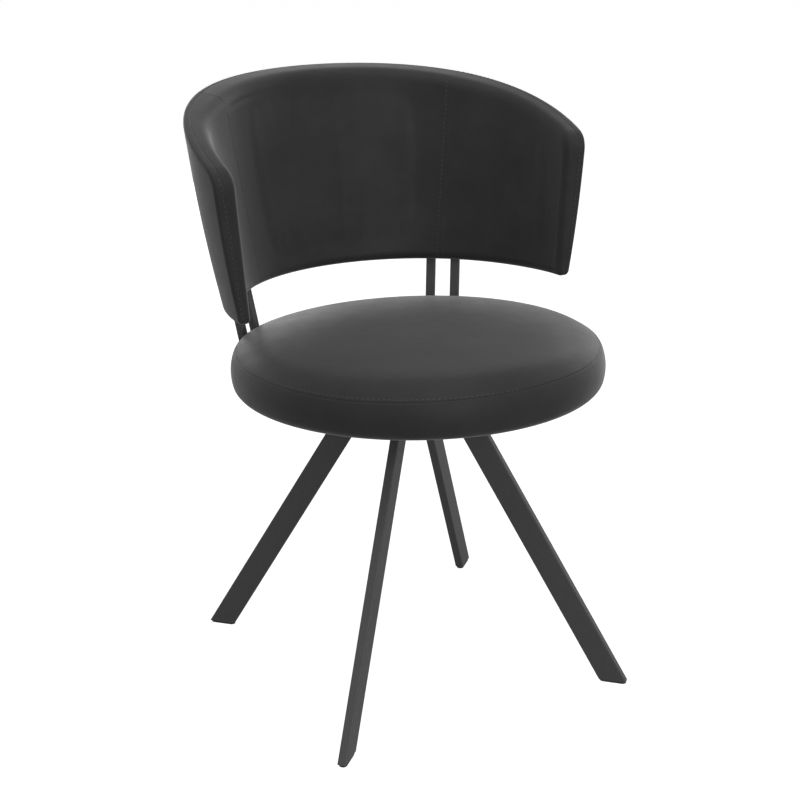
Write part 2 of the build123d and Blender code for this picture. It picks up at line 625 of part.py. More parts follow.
def all_bolt_places():
    """The bolt holes of the four posts."""
    return [place for side in (-1, 1) for sign in (-1, 1) for place in bolt_places(side, sign)]


def back_post(side, offset_sign):
    """One post with its two bolt holes."""
    post = post_fan(side * POST_AZIMUTH) * Pos(0, offset_sign * POST_HALF_SPACING, 0) * post_bar()
    for place in bolt_places(side, offset_sign):
        post -= place * Cylinder(SCREW_RADIUS + BOLT_CLEARANCE, 2 * POST_THICKNESS)
    return post


def back_bolt(place):
    """Bolt in through a post, its spacer and the tee nut in the plywood."""
    reach = depth_to_cone(place, SHELL_INNER_RADIUS) - TEE_SINK - BOLT_END_INSET
    return place * Pos(0, 0, POST_THICKNESS / 2) * wood_screw(POST_THICKNESS / 2 + reach)


def spacer_bar(place, radius):
    """Round bar from a post into the plywood."""
    depth = depth_to_cone(place, SHELL_MIDDLE_RADIUS)
    return place * rod(radius, -depth, -POST_THICKNESS / 2)


def back_spacer(place):
    """Tube past the padding, its end shaped to seat on the curved plywood."""
    tube = spacer_bar(place, SPACER_RADIUS) - spacer_bar(place, SCREW_RADIUS + BOLT_CLEARANCE)
    return tube & back_ring(outside_cone(SHELL_OUTER_RADIUS))


def tee_nut_place(place):
    """Flange face of a tee nut, sunk in the inner face of the plywood."""
    return place * Pos(0, 0, TEE_SINK - depth_to_cone(place, SHELL_INNER_RADIUS)) * Rot(X=180)


def back_shell():
    """Bent plywood with holes for its tee nuts."""
    shell = plywood()
    for place in all_bolt_places():
        nut = tee_nut_place(place)
        shell -= nut * Cylinder(TEE_BARREL_RADIUS, 4 * SHELL_THICKNESS)
        shell -= nut * rod(TEE_FLANGE_RADIUS, -TEE_FLANGE_THICKNESS, SHELL_THICKNESS)
    return shell


def inner_pads(body):
    """Left, centre and right pads on the seat side of the plywood."""
    pads = body - back_ring(outside_cone(SHELL_MIDDLE_RADIUS))
    return split_at_seams(pads)


def outer_pads(body):
    """Left, centre and right pads outside the plywood, with holes for the spacers."""
    pads = body & back_ring(outside_cone(SHELL_MIDDLE_RADIUS))
    for place in all_bolt_places():
        pads -= spacer_bar(place, SPACER_RADIUS + SPACER_HOLE_CLEARANCE)
    return split_at_seams(pads)


# --- the chair ---------------------------------------------------------------------------------
def base_pieces():
    """Pieces that stand still on the floor."""
    pieces = {f"leg_{name}": shape for name, shape in four_corners(leg()).items()}
    pieces.update({f"foot_glide_{name}": shape for name, shape in four_corners(glide()).items()})
    pieces["base_plate"] = base_plate()
    pieces["swivel_lower_plate"] = race_plate(BASE_PLATE_TOP, PIN_RADIUS + PIN_RUNNING_CLEARANCE, 0)
    pieces["swivel_lower_bolts"] = lower_race_bolts()
    return pieces


def bearing_pieces():
    """Pieces that roll between the race plates."""
    return {"bearing_balls": bearing_balls(), "ball_cage": ball_cage()}


def mounting_pieces():
    """Level pieces that turn with the seat."""
    pieces = {
        "swivel_upper_plate": race_plate(UPPER_RACE_BOTTOM, PIN_RADIUS, 45),
        "swivel_upper_bolts": upper_race_bolts(),
        "swivel_pin": swivel_pin(),
        "swivel_nut": swivel_nut(),
    }
    pieces["tilt_rail_right"] = tilt_rail()
    pieces["tilt_rail_left"] = mirror(tilt_rail(), Plane.YZ)
    return pieces


def seat_pieces():
    """Seat, its plate and screws, before they are tilted."""
    return {
        "seat_plate": seat_plate(),
        "seat_dust_cover": dust_cover(),
        "seat_board": seat_board(),
        "seat_foam": seat_foam(),
        "seat_cover_top": seat_cover_top(),
        "seat_boxing": seat_boxing(),
        "seat_screws": seat_screws(),
        "seat_tee_nuts": seat_tee_nuts(),
    }


def back_pieces():
    """Back, its posts and fasteners, before they are tilted."""
    places = all_bolt_places()
    cushion = padded_back() - plywood()
    pieces = {
        "back_shell": back_shell(),
        "back_bolts": [back_bolt(place) for place in places],
        "back_spacers": [back_spacer(place) for place in places],
        "back_tee_nuts": [tee_nut_place(place) * tee_nut() for place in places],
    }
    for name, pads in (("inner_pad", inner_pads(cushion)), ("outer_pad", outer_pads(cushion))):
        for side, pad in zip(("left", "centre", "right"), pads):
            pieces[f"{name}_{side}"] = pad
    for side, side_name in ((-1, "left"), (1, "right")):
        for sign, place_name in ((-side, "rear"), (side, "front")):
            pieces[f"back_post_{side_name}_{place_name}"] = back_post(side, -sign)
    return pieces


def as_one(shape):
    """One shape for a node, also where the node holds several like solids."""
    return Compound(shape) if isinstance(shape, list) else shape


def chair_pieces():
    """Every piece of the chair by its name."""
    pieces = {**base_pieces(), **bearing_pieces(), **mounting_pieces()}
    tilted = {**seat_pieces(), **back_pieces()}
    pieces.update({name: reclined(as_one(shape)) for name, shape in tilted.items()})
    return {name: as_one(shape) for name, shape in pieces.items()}


os.makedirs("parts", exist_ok=True)
for piece_name, piece in chair_pieces().items():
    export_step(piece, f"parts/{piece_name}.step")
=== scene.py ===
"""Looks of the swivel dining chair: padded leather, stitches, materials, camera, lights and floor."""
import json
import math

import bmesh
import bpy
import numpy as np
from mathutils import Matrix, Vector, noise
from mathutils.bvhtree import BVHTree


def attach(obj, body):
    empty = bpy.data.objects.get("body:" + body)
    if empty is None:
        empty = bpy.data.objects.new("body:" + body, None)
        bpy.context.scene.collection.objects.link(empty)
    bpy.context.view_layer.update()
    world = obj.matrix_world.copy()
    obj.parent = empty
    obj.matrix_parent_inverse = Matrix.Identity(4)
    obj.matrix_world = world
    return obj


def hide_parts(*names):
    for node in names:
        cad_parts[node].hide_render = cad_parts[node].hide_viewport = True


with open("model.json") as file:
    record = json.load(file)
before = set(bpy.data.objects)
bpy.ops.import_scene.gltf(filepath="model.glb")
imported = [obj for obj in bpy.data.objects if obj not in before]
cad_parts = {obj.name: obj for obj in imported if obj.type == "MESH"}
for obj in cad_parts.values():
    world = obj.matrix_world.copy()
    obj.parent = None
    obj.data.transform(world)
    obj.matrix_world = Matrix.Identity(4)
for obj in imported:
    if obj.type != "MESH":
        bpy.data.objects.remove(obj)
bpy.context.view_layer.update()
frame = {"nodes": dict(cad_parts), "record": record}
scene = bpy.context.scene

# --------------------
# Sizes in millimetres. The back and the seat are worked out upright, then reclined.
# --------------------
MM = 0.001
RECLINE = math.radians(2.25)
RECLINE_Z = 430.0

# The back stands about a leaning axis. Radii grow with the height along that axis.
LEAN = math.radians(6.0)
BACK_Y, BACK_Z = -3.0, 512.0
BACK_HEIGHT = 290.0
INNER_RADIUS, INNER_SLOPE = 214.0, 0.07
PARTING_RADIUS, PARTING_SLOPE = 232.5, 0.115
OUTER_POINTS = ((239.7, 0.0), (260.1, 130.0), (271.8, BACK_HEIGHT))
FRONT_Y = -6.5
TOP_POINTS = ((FRONT_Y, 698.3), (130.0, 748.4), (305.0, 784.1))
TOP_CORNER, BOTTOM_CORNER = 28.0, 7.0
SEAM_ANGLE, SEAM_TWIST = 39.2, 2.75

# The seat's profile: distance from its axis and height
SEAT_Y = -15.3
SEAT_CROWN_Z = 487.6
SEAT_SHOULDER = (192.0, 469.0)
SEAT_SEAM = (236.0, 455.0)
SEAT_WIDEST = (241.8, 430.0)
SEAT_FOOT = (236.0, 404.8)

SETTLE_STEPS = 12
HEIGHT_GUESSES = (20.0, 250.0)
TINY = 1e-6


# --------------------
# Geometry shared by the back and the seat
# --------------------
def circle_through(p, q, r):
    """Centre and radius of the circle through three points of a plane."""
    (ax, ay), (bx, by), (cx, cy) = p, q, r
    d = 2 * (ax * (by - cy) + bx * (cy - ay) + cx * (ay - by))
    a2, b2, c2 = ax * ax + ay * ay, bx * bx + by * by, cx * cx + cy * cy
    ux = (a2 * (by - cy) + b2 * (cy - ay) + c2 * (ay - by)) / d
    uy = (a2 * (cx - bx) + b2 * (ax - cx) + c2 * (bx - ax)) / d
    return ux, uy, math.hypot(ax - ux, ay - uy)


OUTER_C, OUTER_H, OUTER_R = circle_through(*OUTER_POINTS)
TOP_C, TOP_H, TOP_R = circle_through(*TOP_POINTS)


def inner_radius(h):
    return INNER_RADIUS + INNER_SLOPE * h


def outer_radius(h):
    return OUTER_C + np.sqrt(OUTER_R ** 2 - (h - OUTER_H) ** 2)


def parting_radius(h):
    return PARTING_RADIUS + PARTING_SLOPE * h


def top_z(y):
    """Upright height of the back's top edge."""
    return TOP_H + np.sqrt(TOP_R ** 2 - (y - TOP_C) ** 2)


def reclined(points):
    """Upright millimetres to reclined metres."""
    p = np.asarray(points, float)
    y, z = p[..., 1], p[..., 2] - RECLINE_Z
    c, s = math.cos(RECLINE), math.sin(RECLINE)
    return np.stack([p[..., 0], y * c + z * s, RECLINE_Z - y * s + z * c], axis=-1) * MM


def back_point(phi, r, h):
    """Point of the back from its angle, radius and height about the leaning axis, reclined, in metres."""
    c, s = math.cos(LEAN), math.sin(LEAN)
    yl = r * np.cos(phi)
    return reclined(np.stack([r * np.sin(phi), BACK_Y + yl * c + h * s, BACK_Z - yl * s + h * c], axis=-1))


def leaning(y, z):
    """Upright side-view place to distance behind the leaning axis and height along it."""
    c, s = math.cos(LEAN), math.sin(LEAN)
    return (y - BACK_Y) * c - (z - BACK_Z) * s, (y - BACK_Y) * s + (z - BACK_Z) * c


def seam_plane():
    """Normal and offset of the plane that cuts the back along its right seam."""
    def inner_point(h):
        a = math.radians(SEAM_ANGLE + SEAM_TWIST * h / 100)
        return Vector((inner_radius(h) * math.sin(a), inner_radius(h) * math.cos(a), h))
    low, high = inner_point(0.0), inner_point(BACK_HEIGHT)
    outward = Vector((low.x + high.x, low.y + high.y, 0))
    normal = (high - low).cross(outward).normalized()
    return normal, normal.dot(low)


SEAM_N, SEAM_D = seam_plane()


def wrapped(angle):
    """An angle brought between minus and plus half a turn."""
    return (angle + math.pi) % (2 * math.pi) - math.pi


def seam_phi(r, h):
    """Angle of the right seam at a radius and height."""
    size = math.hypot(SEAM_N.x, SEAM_N.y)
    lag = math.atan2(SEAM_N.y, SEAM_N.x)
    level = np.clip((SEAM_D - SEAM_N.z * h) / (r * size), -1, 1)
    first, second = wrapped(np.arcsin(level) - lag), wrapped(math.pi - np.arcsin(level) - lag)
    rough = math.radians(SEAM_ANGLE)
    return np.where(np.abs(first - rough) < np.abs(second - rough), first, second)


def on_edge(phi, radius_of, h, top):
    """Height at which an angle meets the top or bottom of the back."""
    c, s = math.cos(LEAN), math.sin(LEAN)
    for _ in range(SETTLE_STEPS):
        yl = radius_of(h) * np.cos(phi)
        if top:
            h = (top_z(BACK_Y + yl * c + h * s) - BACK_Z + yl * s) / c
        else:
            h = yl * s / c
    return h


def seam_end(radius_of, off, top):
    """Angle and height where the seam, moved off by a distance, meets the top or bottom."""
    h = HEIGHT_GUESSES[top]
    for _ in range(SETTLE_STEPS):
        r = radius_of(h)
        phi = float(seam_phi(r, h)) + off / r
        h = float(on_edge(phi, radius_of, h, top))
    return phi, h


def arc(cx, cy, radius, start, end, count=24):
    a = np.radians(np.linspace(start, end, count))
    return np.stack([cx + radius * np.cos(a), cy + radius * np.sin(a)], axis=-1)


def both_ends(t):
    """0..1 packed towards both ends."""
    return t - 0.10 * np.sin(2 * np.pi * t)


def far_end(t):
    """0..1 packed towards 1."""
    return 1 - (1 - t) ** 1.35


def smoothstep(t):
    """0 below 0, 1 above 1 and smooth between."""
    t = np.clip(t, 0, 1)
    return t * t * (3 - 2 * t)


def window(t, width):
    """0 at the ends of 0..1, rising smoothly to 1."""
    return smoothstep(np.minimum(t, 1 - t) / width)


def resample(points, count, warp):
    """Evenly spaced points along a polyline, packed towards the ends that warp asks for."""
    pts = np.asarray(points, float)
    length = np.concatenate([[0], np.cumsum(np.hypot(*np.diff(pts, axis=0).T))])
    t = warp(np.linspace(0, 1, count)) * length[-1]
    return np.stack([np.interp(t, length, pts[:, 0]), np.interp(t, length, pts[:, 1])], axis=-1)


def grid_quads(ids):
    """Quads between the rows and columns of a grid of vertex numbers."""
    return [(ids[i, j], ids[i + 1, j], ids[i + 1, j + 1], ids[i, j + 1])
            for i in range(ids.shape[0] - 1) for j in range(ids.shape[1] - 1)]


def mesh_object(name, verts, faces):
    """A new object of a closed mesh in metres, without loose vertices, its faces turned outwards."""
    mesh = bpy.data.meshes.new(name)
    mesh.from_pydata([tuple(v) for v in verts], [], [tuple(int(i) for i in f) for f in faces])
    work = bmesh.new()
    work.from_mesh(mesh)
    loose = [vert for vert in work.verts if not vert.link_faces]
    bmesh.ops.delete(work, geom=loose, context="VERTS")
    bmesh.ops.recalc_face_normals(work, faces=work.faces)
    work.to_mesh(mesh)
    work.free()
    piece = bpy.data.objects.new(name, mesh)
    scene.collection.objects.link(piece)
    return piece


# --------------------
# Making padded pieces soft
# --------------------
CLOTH = {"quality": 6, "mass": 0.25, "tension_stiffness": 18, "compression_stiffness": 18,
         "shear_stiffness": 6, "bending_stiffness": 1.5, "use_pressure": True, "vertex_group_mass": "held"}
CLOTH_FRAMES = 16


def points_of(mesh):
    co = np.zeros(len(mesh.vertices) * 3)
    mesh.vertices.foreach_get("co", co)
    return co.reshape(-1, 3)


def set_points(mesh, points):
    mesh.vertices.foreach_set("co", points.ravel())
    mesh.update()


def displaced(piece, amount):
    """Move each vertex along its normal by its amount in millimetres."""
    mesh = piece.data
    normals = np.zeros(len(mesh.vertices) * 3)
    mesh.vertices.foreach_get("normal", normals)
    set_points(mesh, points_of(mesh) + normals.reshape(-1, 3) * (np.asarray(amount) * MM)[:, None])


def simulate(piece, free, pressure, cap):
    """Puff the free vertices with cloth under pressure; no vertex moves further than cap millimetres."""
    rest = points_of(piece.data)
    trial = piece.copy()
    trial.data = piece.data.copy()
    scene.collection.objects.link(trial)
    group = trial.vertex_groups.new(name="held")
    for i, share in enumerate(free):
        group.add([i], float(1.0 - share), "REPLACE")
    cloth = trial.modifiers.new("Cloth", "CLOTH")
    for key, value in CLOTH.items():
        setattr(cloth.settings, key, value)
    cloth.settings.uniform_pressure_force = pressure
    cloth.settings.effector_weights.gravity = 0.0
    cloth.point_cache.frame_start, cloth.point_cache.frame_end = 1, CLOTH_FRAMES
    for number in range(1, CLOTH_FRAMES + 1):
        scene.frame_set(number)
    ready = trial.evaluated_get(bpy.context.evaluated_depsgraph_get())
    move = points_of(ready.data) - rest
    bpy.data.objects.remove(trial)
    scene.frame_set(1)
    size = np.linalg.norm(move, axis=1)
    limit = cap * MM
    scale = np.where(size > TINY * MM, limit * np.tanh(size / limit) / np.maximum(size, TINY * MM), 0)
    set_points(piece.data, rest + move * scale[:, None])


def puffed(piece, free, tuck, pressure, cap):
    displaced(piece, -tuck * free)
    simulate(piece, free, pressure, cap)


def dents(points, waves):
    """Unevenness in millimetres at points in metres; each wave has its height, scale and seed."""
    total = np.zeros(len(points))
    for height, scale, seed in waves:
        shift = Vector((seed * 3.7, seed * 1.3, seed * 2.1))
        total += height * np.array([noise.noise(Vector(p) * scale + shift) for p in points])
    return total


def smooth(piece):
    """Smooth shading and an applied subdivision surface."""
    for poly in piece.data.polygons:
        poly.use_smooth = True
    sub = piece.modifiers.new("Subdivision", "SUBSURF")
    sub.levels = sub.render_levels = 1
    ready = piece.evaluated_get(bpy.context.evaluated_depsgraph_get())
    mesh = bpy.data.meshes.new_from_object(ready)
    piece.modifiers.clear()
    piece.data = mesh


def dress(piece, nodes):
    """Let a padded leather piece of the seat body stand for its CAD nodes."""
    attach(piece, "seat")
    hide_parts(*nodes)


# --------------------
# Panels of the back
# --------------------
WING_COLUMNS, CENTRE_COLUMNS, ROWS = 34, 58, 38
RIM_ROWS, SEAM_ROWS = 9, 6
INNER_ROUNDING, OUTER_ROUNDING = 12.0, 4.2
WING_THINNING, THINNING_REACH, THINNING_START = 9.0, 75.0, 95.0
SEAM_GAP, OPEN_SIDE = 0.8, 5.0

# A rim row is its distance in from the outline, its share of the depth from the face to the parting line, and
# millimetres past that. These come after the rounding and run over the parting line to behind it.
QUARTER_TURN = np.radians((0, 22, 45, 68, 90))
SIDE_SHARE, SIDE_DROP = 0.3, 0.7
PARTING_ROWS = ((0.0, 1.0, -0.9), (0.1, 1.0, -0.35), (0.5, 1.0, -0.06), (6.0, 1.0, -0.05))
# Steps of a panel's edge into a seam: forward, towards the other panel, and down
SEAM_STEPS = ((0.25, -0.1), (0.5, -0.06), (0.68, 0.12), (0.76, 0.45), (0.77, 2.5), (0.77, 7.5))

# The hidden sheet that closes a panel behind
HIDDEN_SHARE, HIDDEN_GAP, HIDDEN_INSET, HIDDEN_SEAM_STEP = 0.8, 9.0, 16.0, 0.9

PANEL_TUCK, PANEL_PRESSURE, PANEL_CAP, PANEL_FILL = 0.9, 5.0, 2.6, 0.8
FADES = {"wing": (0.45, 0.4), "centre": (0.2, 0.3)}
PANEL_DENTS = ((0.5, 9.0, 1), (0.22, 26.0, 2))
# Creases under the top edge: angle in degrees, half width, distance below the edge, softness and rise
FOLDS = ((-38.0, 9.0, 5.0, 3.6, -0.9), (-34.0, 11.0, 13.0, 5.0, 0.5))


def wing_outline(y_bottom, y_top):
    """Side-view outline of a wing: seam bottom, along to the front, up and back to the seam top."""
    corner_y = FRONT_Y + TOP_CORNER
    corner_z = TOP_H + math.sqrt((TOP_R - TOP_CORNER) ** 2 - (corner_y - TOP_C) ** 2)
    top_angle = math.degrees(math.atan2(corner_z - TOP_H, corner_y - TOP_C))
    corner_middle = (180 + top_angle) / 2
    low_y, low_z = FRONT_Y + BOTTOM_CORNER, BACK_Z + BOTTOM_CORNER
    bottom = np.concatenate([[(y_bottom, BACK_Z)], arc(low_y, low_z, BOTTOM_CORNER, 270, 225)])
    front = np.concatenate([arc(low_y, low_z, BOTTOM_CORNER, 225, 180),
                            arc(corner_y, corner_z, TOP_CORNER, 180, corner_middle)])
    ys = np.linspace(TOP_C + TOP_R * math.cos(math.radians(top_angle)), y_top, 60)
    top = np.concatenate([arc(corner_y, corner_z, TOP_CORNER, corner_middle, top_angle),
                          np.stack([ys, top_z(ys)], axis=-1)[1:]])
    low = resample(bottom, WING_COLUMNS + 1, far_end)
    middle = resample(front, ROWS + 1, both_ends)
    high = resample(top[::-1], WING_COLUMNS + 1, far_end)[::-1]
    return np.concatenate([low, middle[1:], high[1:]])


class Sheet:
    """Places of a panel's vertices, with their angles, heights, depths and distances from the rim."""

    def __init__(self, count):
        self.pos = np.zeros((count, 3))
        self.phi, self.h, self.depth, self.from_rim = (np.zeros(count) for _ in range(4))


class Panel:
    """One padded panel of the back, as a closed sheet of quads: face, turned rims, seam edges and back."""

    def __init__(self, kind, inner):
        self.wing = kind == "wing"
        self.face_radius = inner_radius if inner else outer_radius
        self.sign = 1.0 if inner else -1.0
        self.rounding = INNER_ROUNDING if inner else OUTER_ROUNDING
        self.thinning = WING_THINNING if inner and self.wing else 0.0
        self.columns = WING_COLUMNS if self.wing else CENTRE_COLUMNS
        self.number()

    def number(self):
        """Number the vertices of one sheet: the face, the rims round it and the edges along its seams."""
        shape = (self.columns + 1, ROWS + 1)
        self.face = face = np.arange(shape[0] * shape[1]).reshape(shape)
        self.count = face.size
        if self.wing:
            edges = [np.concatenate([face[:, 0], face[-1, 1:], face[-2::-1, -1]])]
        else:
            edges = [face[:, 0], face[:, -1]]
        self.rims = [self.grown(edge, RIM_ROWS) for edge in edges]
        first, last = self.rims[0], self.rims[-1]
        if self.wing:
            sides = [np.concatenate([first[:0:-1, 0], face[0], first[1:, -1]])]
        else:
            sides = [np.concatenate([first[:0:-1, end], face[end], last[1:, end]]) for end in (0, -1)]
        self.seams = [self.grown(side, SEAM_ROWS) for side in sides]

    def grown(self, edge, rows):
        """Numbers of an edge and of new rows of vertices beyond it."""
        new = self.count + np.arange(rows * len(edge)).reshape(rows, len(edge))
        self.count += new.size
        return np.vstack([edge, new])

    def border(self):
        """Numbers of the vertices on the open border of one sheet."""
        lines = [grid[-1] for grid in [*self.rims, *self.seams]]
        lines += [grid[:, end] for grid in self.seams for end in (0, -1)]
        return np.unique(np.concatenate(lines))

    def depth_radius(self, h, share, extra):
        """Radius at a share of the depth from the face to the parting line, plus extra millimetres."""
        face = self.face_radius(h)
        whole = (parting_radius(h) - face) * self.sign
        return face + self.sign * (share * whole + extra)

    def path(self, share, extra, off, inset):
        """Angles and heights of each rim at a depth, moved in from the outline."""
        def radius_of(h):
            return self.depth_radius(h, share, extra)

        if self.wing:
            c, s = math.cos(LEAN), math.sin(LEAN)
            ends = [seam_end(radius_of, off, top) for top in (False, True)]
            line = wing_outline(*(BACK_Y + radius_of(h) * math.cos(phi) * c + h * s for phi, h in ends))
            yl, h = leaning(line[:, 0], line[:, 1])
            phi = np.arccos(np.clip(yl / radius_of(h), -1, 1))
            return [self.moved_in(phi, h, radius_of, inset, 1.0, off)]
        paths = []
        for top in (False, True):
            end = seam_end(radius_of, -off, top)[0]
            phi = np.linspace(-end, end, self.columns + 1)
            h = on_edge(phi, radius_of, np.full(phi.shape, HEIGHT_GUESSES[top]), top)
            paths.append(self.moved_in(phi, h, radius_of, inset, -1.0 if top else 1.0, -off))
        return paths

    def moved_in(self, phi, h, radius_of, inset, turn, off):
        """Move a rim path towards the middle of the panel, with its ends kept on the seams."""
        tx, th = np.gradient(radius_of(h) * phi), np.gradient(h)
        size = np.hypot(tx, th)
        phi = phi - inset * turn * th / size / radius_of(h)
        h = h + inset * turn * tx / size
        for end in (0, -1):
            side = 1.0 if phi[end] > 0 else -1.0
            phi[end] = side * (seam_phi(radius_of(h[end]), h[end]) + off / radius_of(h[end]))
        return phi, h

    def lay_rims(self, sheet, rows, off):
        for k, (inset, share, extra) in enumerate(rows):
            for rim, (phi, h) in zip(self.rims, self.path(share, extra, off, inset)):
                radius = self.depth_radius(h, share, extra)
                ids = rim[k]
                sheet.pos[ids], sheet.phi[ids], sheet.h[ids] = back_point(phi, radius, h), phi, h
                sheet.depth[ids] = (radius - self.face_radius(h)) * self.sign
                sheet.from_rim[ids] = inset

    def lay_face(self, sheet, share, off):
        """Fill the face between its rims and seams, as a Coons patch of angles and heights."""
        def radius_of(h):
            return self.depth_radius(h, share, 0.0)

        face = self.face
        low, high = face[:, 0], face[:, -1]
        low_h, high_h = sheet.h[low[0]], sheet.h[high[0]]
        near_h = low_h + (high_h - low_h) * both_ends(np.linspace(0, 1, ROWS + 1))
        if self.wing:
            near_phi = seam_phi(radius_of(near_h), near_h) + off / radius_of(near_h)
            far_phi, far_h = sheet.phi[face[-1]], sheet.h[face[-1]]
        else:
            far_h = near_h
            far_phi = seam_phi(radius_of(far_h), far_h) - off / radius_of(far_h)
            near_phi = -far_phi
        u = np.linspace(0, 1, self.columns + 1)[:, None]
        v = np.linspace(0, 1, ROWS + 1)[None, :]

        def coons(bottom, top, near, far):
            edges = (1 - v) * bottom[:, None] + v * top[:, None] + (1 - u) * near[None, :] + u * far[None, :]
            corners = ((1 - u) * (1 - v) * bottom[0] + u * (1 - v) * bottom[-1]
                       + (1 - u) * v * top[0] + u * v * top[-1])
            return edges - corners

        phi = coons(sheet.phi[low], sheet.phi[high], near_phi, far_phi)
        h = coons(sheet.h[low], sheet.h[high], near_h, far_h)
        sheet.pos[face], sheet.phi[face], sheet.h[face] = back_point(phi, radius_of(h), h), phi, h
        sheet.depth[face] = 0.0

    def thin(self, sheet, rows):
        """Let a wing's face sink towards its top and front rims, which are thinner than its middle."""
        face = self.face
        phi, h = sheet.phi[face], sheet.h[face]
        to_front = (phi[-1][None, :] - phi) * self.face_radius(h)
        to_top = h[:, -1][:, None] - h
        first_inset = rows[0][0]
        sheet.from_rim[face] = first_inset + to_front * to_top / np.maximum(to_front + to_top, TINY)
        for rim in self.rims:
            for k, row in enumerate(rows):
                sheet.from_rim[rim[k]] = sheet.from_rim[rim[0]] + row[0] - first_inset
        ids = np.unique(np.concatenate([face.ravel()] + [rim.ravel() for rim in self.rims]))
        phi, h, depth = sheet.phi[ids], sheet.h[ids], sheet.depth[ids]
        radius = self.face_radius(h)
        whole = (parting_radius(h) - radius) * self.sign
        near_rim = smoothstep(1 - sheet.from_rim[ids] / THINNING_REACH)
        past_seam = smoothstep((phi - seam_phi(radius, h)) * radius / THINNING_START)
        sunk = whole - (whole - depth) * (1 - near_rim * past_seam * self.thinning / whole)
        sheet.pos[ids] = back_point(phi, radius + self.sign * np.where(depth < whole, sunk, depth), h)

    def beside(self, which):
        """Numbers of the vertices one column in from a seam, in the order of the seam's own."""
        first, last = self.rims[0], self.rims[-1]
        near = 1 if which == 0 else -2
        if self.wing:
            return np.concatenate([first[:0:-1, 1], self.face[1], first[1:, -2]])
        return np.concatenate([first[:0:-1, near], self.face[near], last[1:, near]])

    def lay_seams(self, sheet, steps):
        """Roll the edges of the panel into its seams."""
        for which, seam in enumerate(self.seams):
            column = seam[0]
            here = sheet.pos[column]
            across = here - sheet.pos[self.beside(which)]
            across /= np.linalg.norm(across, axis=1)[:, None]
            normal = np.cross(np.gradient(here, axis=0), across)
            normal /= np.linalg.norm(normal, axis=1)[:, None]
            half = len(column) // 2
            phi, h = sheet.phi[column[half]], sheet.h[column[half]]
            in_the_open = back_point(phi, self.face_radius(h) - self.sign * OPEN_SIDE, h)
            if np.dot(normal[half], in_the_open - here[half]) < 0:
                normal = -normal
            for ids, (forward, down) in zip(seam[1:], steps):
                sheet.pos[ids] = here + (across * forward - normal * down) * MM
                sheet.phi[ids], sheet.h[ids] = sheet.phi[column], sheet.h[column]

    def sheet(self, rows, steps, share, off):
        """One sheet of the panel, from the rows of its rims and the steps of its seam edges."""
        sheet = Sheet(self.count)
        self.lay_rims(sheet, rows, off)
        self.lay_face(sheet, share, off)
        if self.thinning and share == 0.0:
            self.thin(sheet, rows)
        self.lay_seams(sheet, steps)
        return sheet

    def build(self, name, mirrored):
        """The closed mesh of the panel: its shown and hidden sheets, joined along their borders."""
        r = self.rounding
        rim = [(r * (1 - math.sin(t)), 0.0, r * (1 - math.cos(t))) for t in QUARTER_TURN]
        rim += [(0.0, SIDE_SHARE, r * SIDE_DROP), *PARTING_ROWS]
        shown = self.sheet(rim, SEAM_STEPS, 0.0, SEAM_GAP)
        hidden_rim = [(HIDDEN_INSET - k, HIDDEN_SHARE, 0.0) for k in range(RIM_ROWS + 1)]
        hidden_steps = [(HIDDEN_SEAM_STEP * k, 0.0) for k in range(1, SEAM_ROWS + 1)]
        hidden = self.sheet(hidden_rim, hidden_steps, HIDDEN_SHARE, HIDDEN_GAP)
        self.phi, self.h = shown.phi, shown.h
        verts = np.concatenate([shown.pos, hidden.pos])
        if mirrored:
            verts[:, 0] *= -1
        joined = np.arange(2 * self.count)
        joined[self.border() + self.count] = self.border()
        front = [quad for grid in [self.face, *self.rims, *self.seams] for quad in grid_quads(grid)]
        behind = [tuple(joined[i + self.count] for i in reversed(quad)) for quad in front]
        return mesh_object(name, verts, front + behind)

    def folds(self):
        """Rise of the soft creases under the top edge, at the vertices of the face."""
        from_top = self.h[self.face[:, -1]][:, None] - self.h[self.face]
        turn = np.degrees(self.phi[self.face])
        return sum(rise * np.exp(-((turn - place) / half_width) ** 2 - ((from_top - below) / softness) ** 2)
                   for place, half_width, below, softness, rise in FOLDS).ravel()


def make_back_panel(name, kind, inner, mirrored, node):
    panel = Panel(kind, inner)
    piece = panel.build(name, mirrored)
    fade_across, fade_up = FADES[kind]
    across = window(np.linspace(0, 1, panel.columns + 1), fade_across)
    up = window(np.linspace(0, 1, ROWS + 1), fade_up)
    face = panel.face.ravel()
    free = np.zeros(len(piece.data.vertices))
    free[face] = (across[:, None] * up[None, :]).ravel()
    puffed(piece, free, PANEL_TUCK, PANEL_PRESSURE, PANEL_CAP)
    amount = np.zeros(len(free))
    amount[face] = free[face] * dents(points_of(piece.data)[face], PANEL_DENTS)
    if inner and not panel.wing:
        amount[face] += panel.folds()
    displaced(piece, amount)
    smooth(piece)
    dress(piece, [node])
    return piece


panels = []
for side, mirrored in (("right", False), ("left", True)):
    for word, inner in (("inner", True), ("outer", False)):
        panels.append(make_back_panel(f"back_{word}_{side}", "wing", inner, mirrored, f"{word}_pad_{side}"))
for word, inner in (("inner", True), ("outer", False)):
    panels.append(make_back_panel(f"back_{word}_centre", "centre", inner, False, f"{word}_pad_centre"))

# --------------------
# Seat: turned profiles, then made soft
# --------------------
TOP_SEAM_ROUNDING, BAND_SEAM_ROUNDING = 1.4, 3.0
SEAM_TURN = np.radians((0, 25, 50, 72, 90))
TOP_SEAM_DEPTHS, BAND_SEAM_DEPTHS = (3.0, 6.0), (4.5, 7.0)
FOOT_ROUNDING = 15.0
DISC, DISC_RADIUS = 40, 120.0
FOAM_Z = 422.2
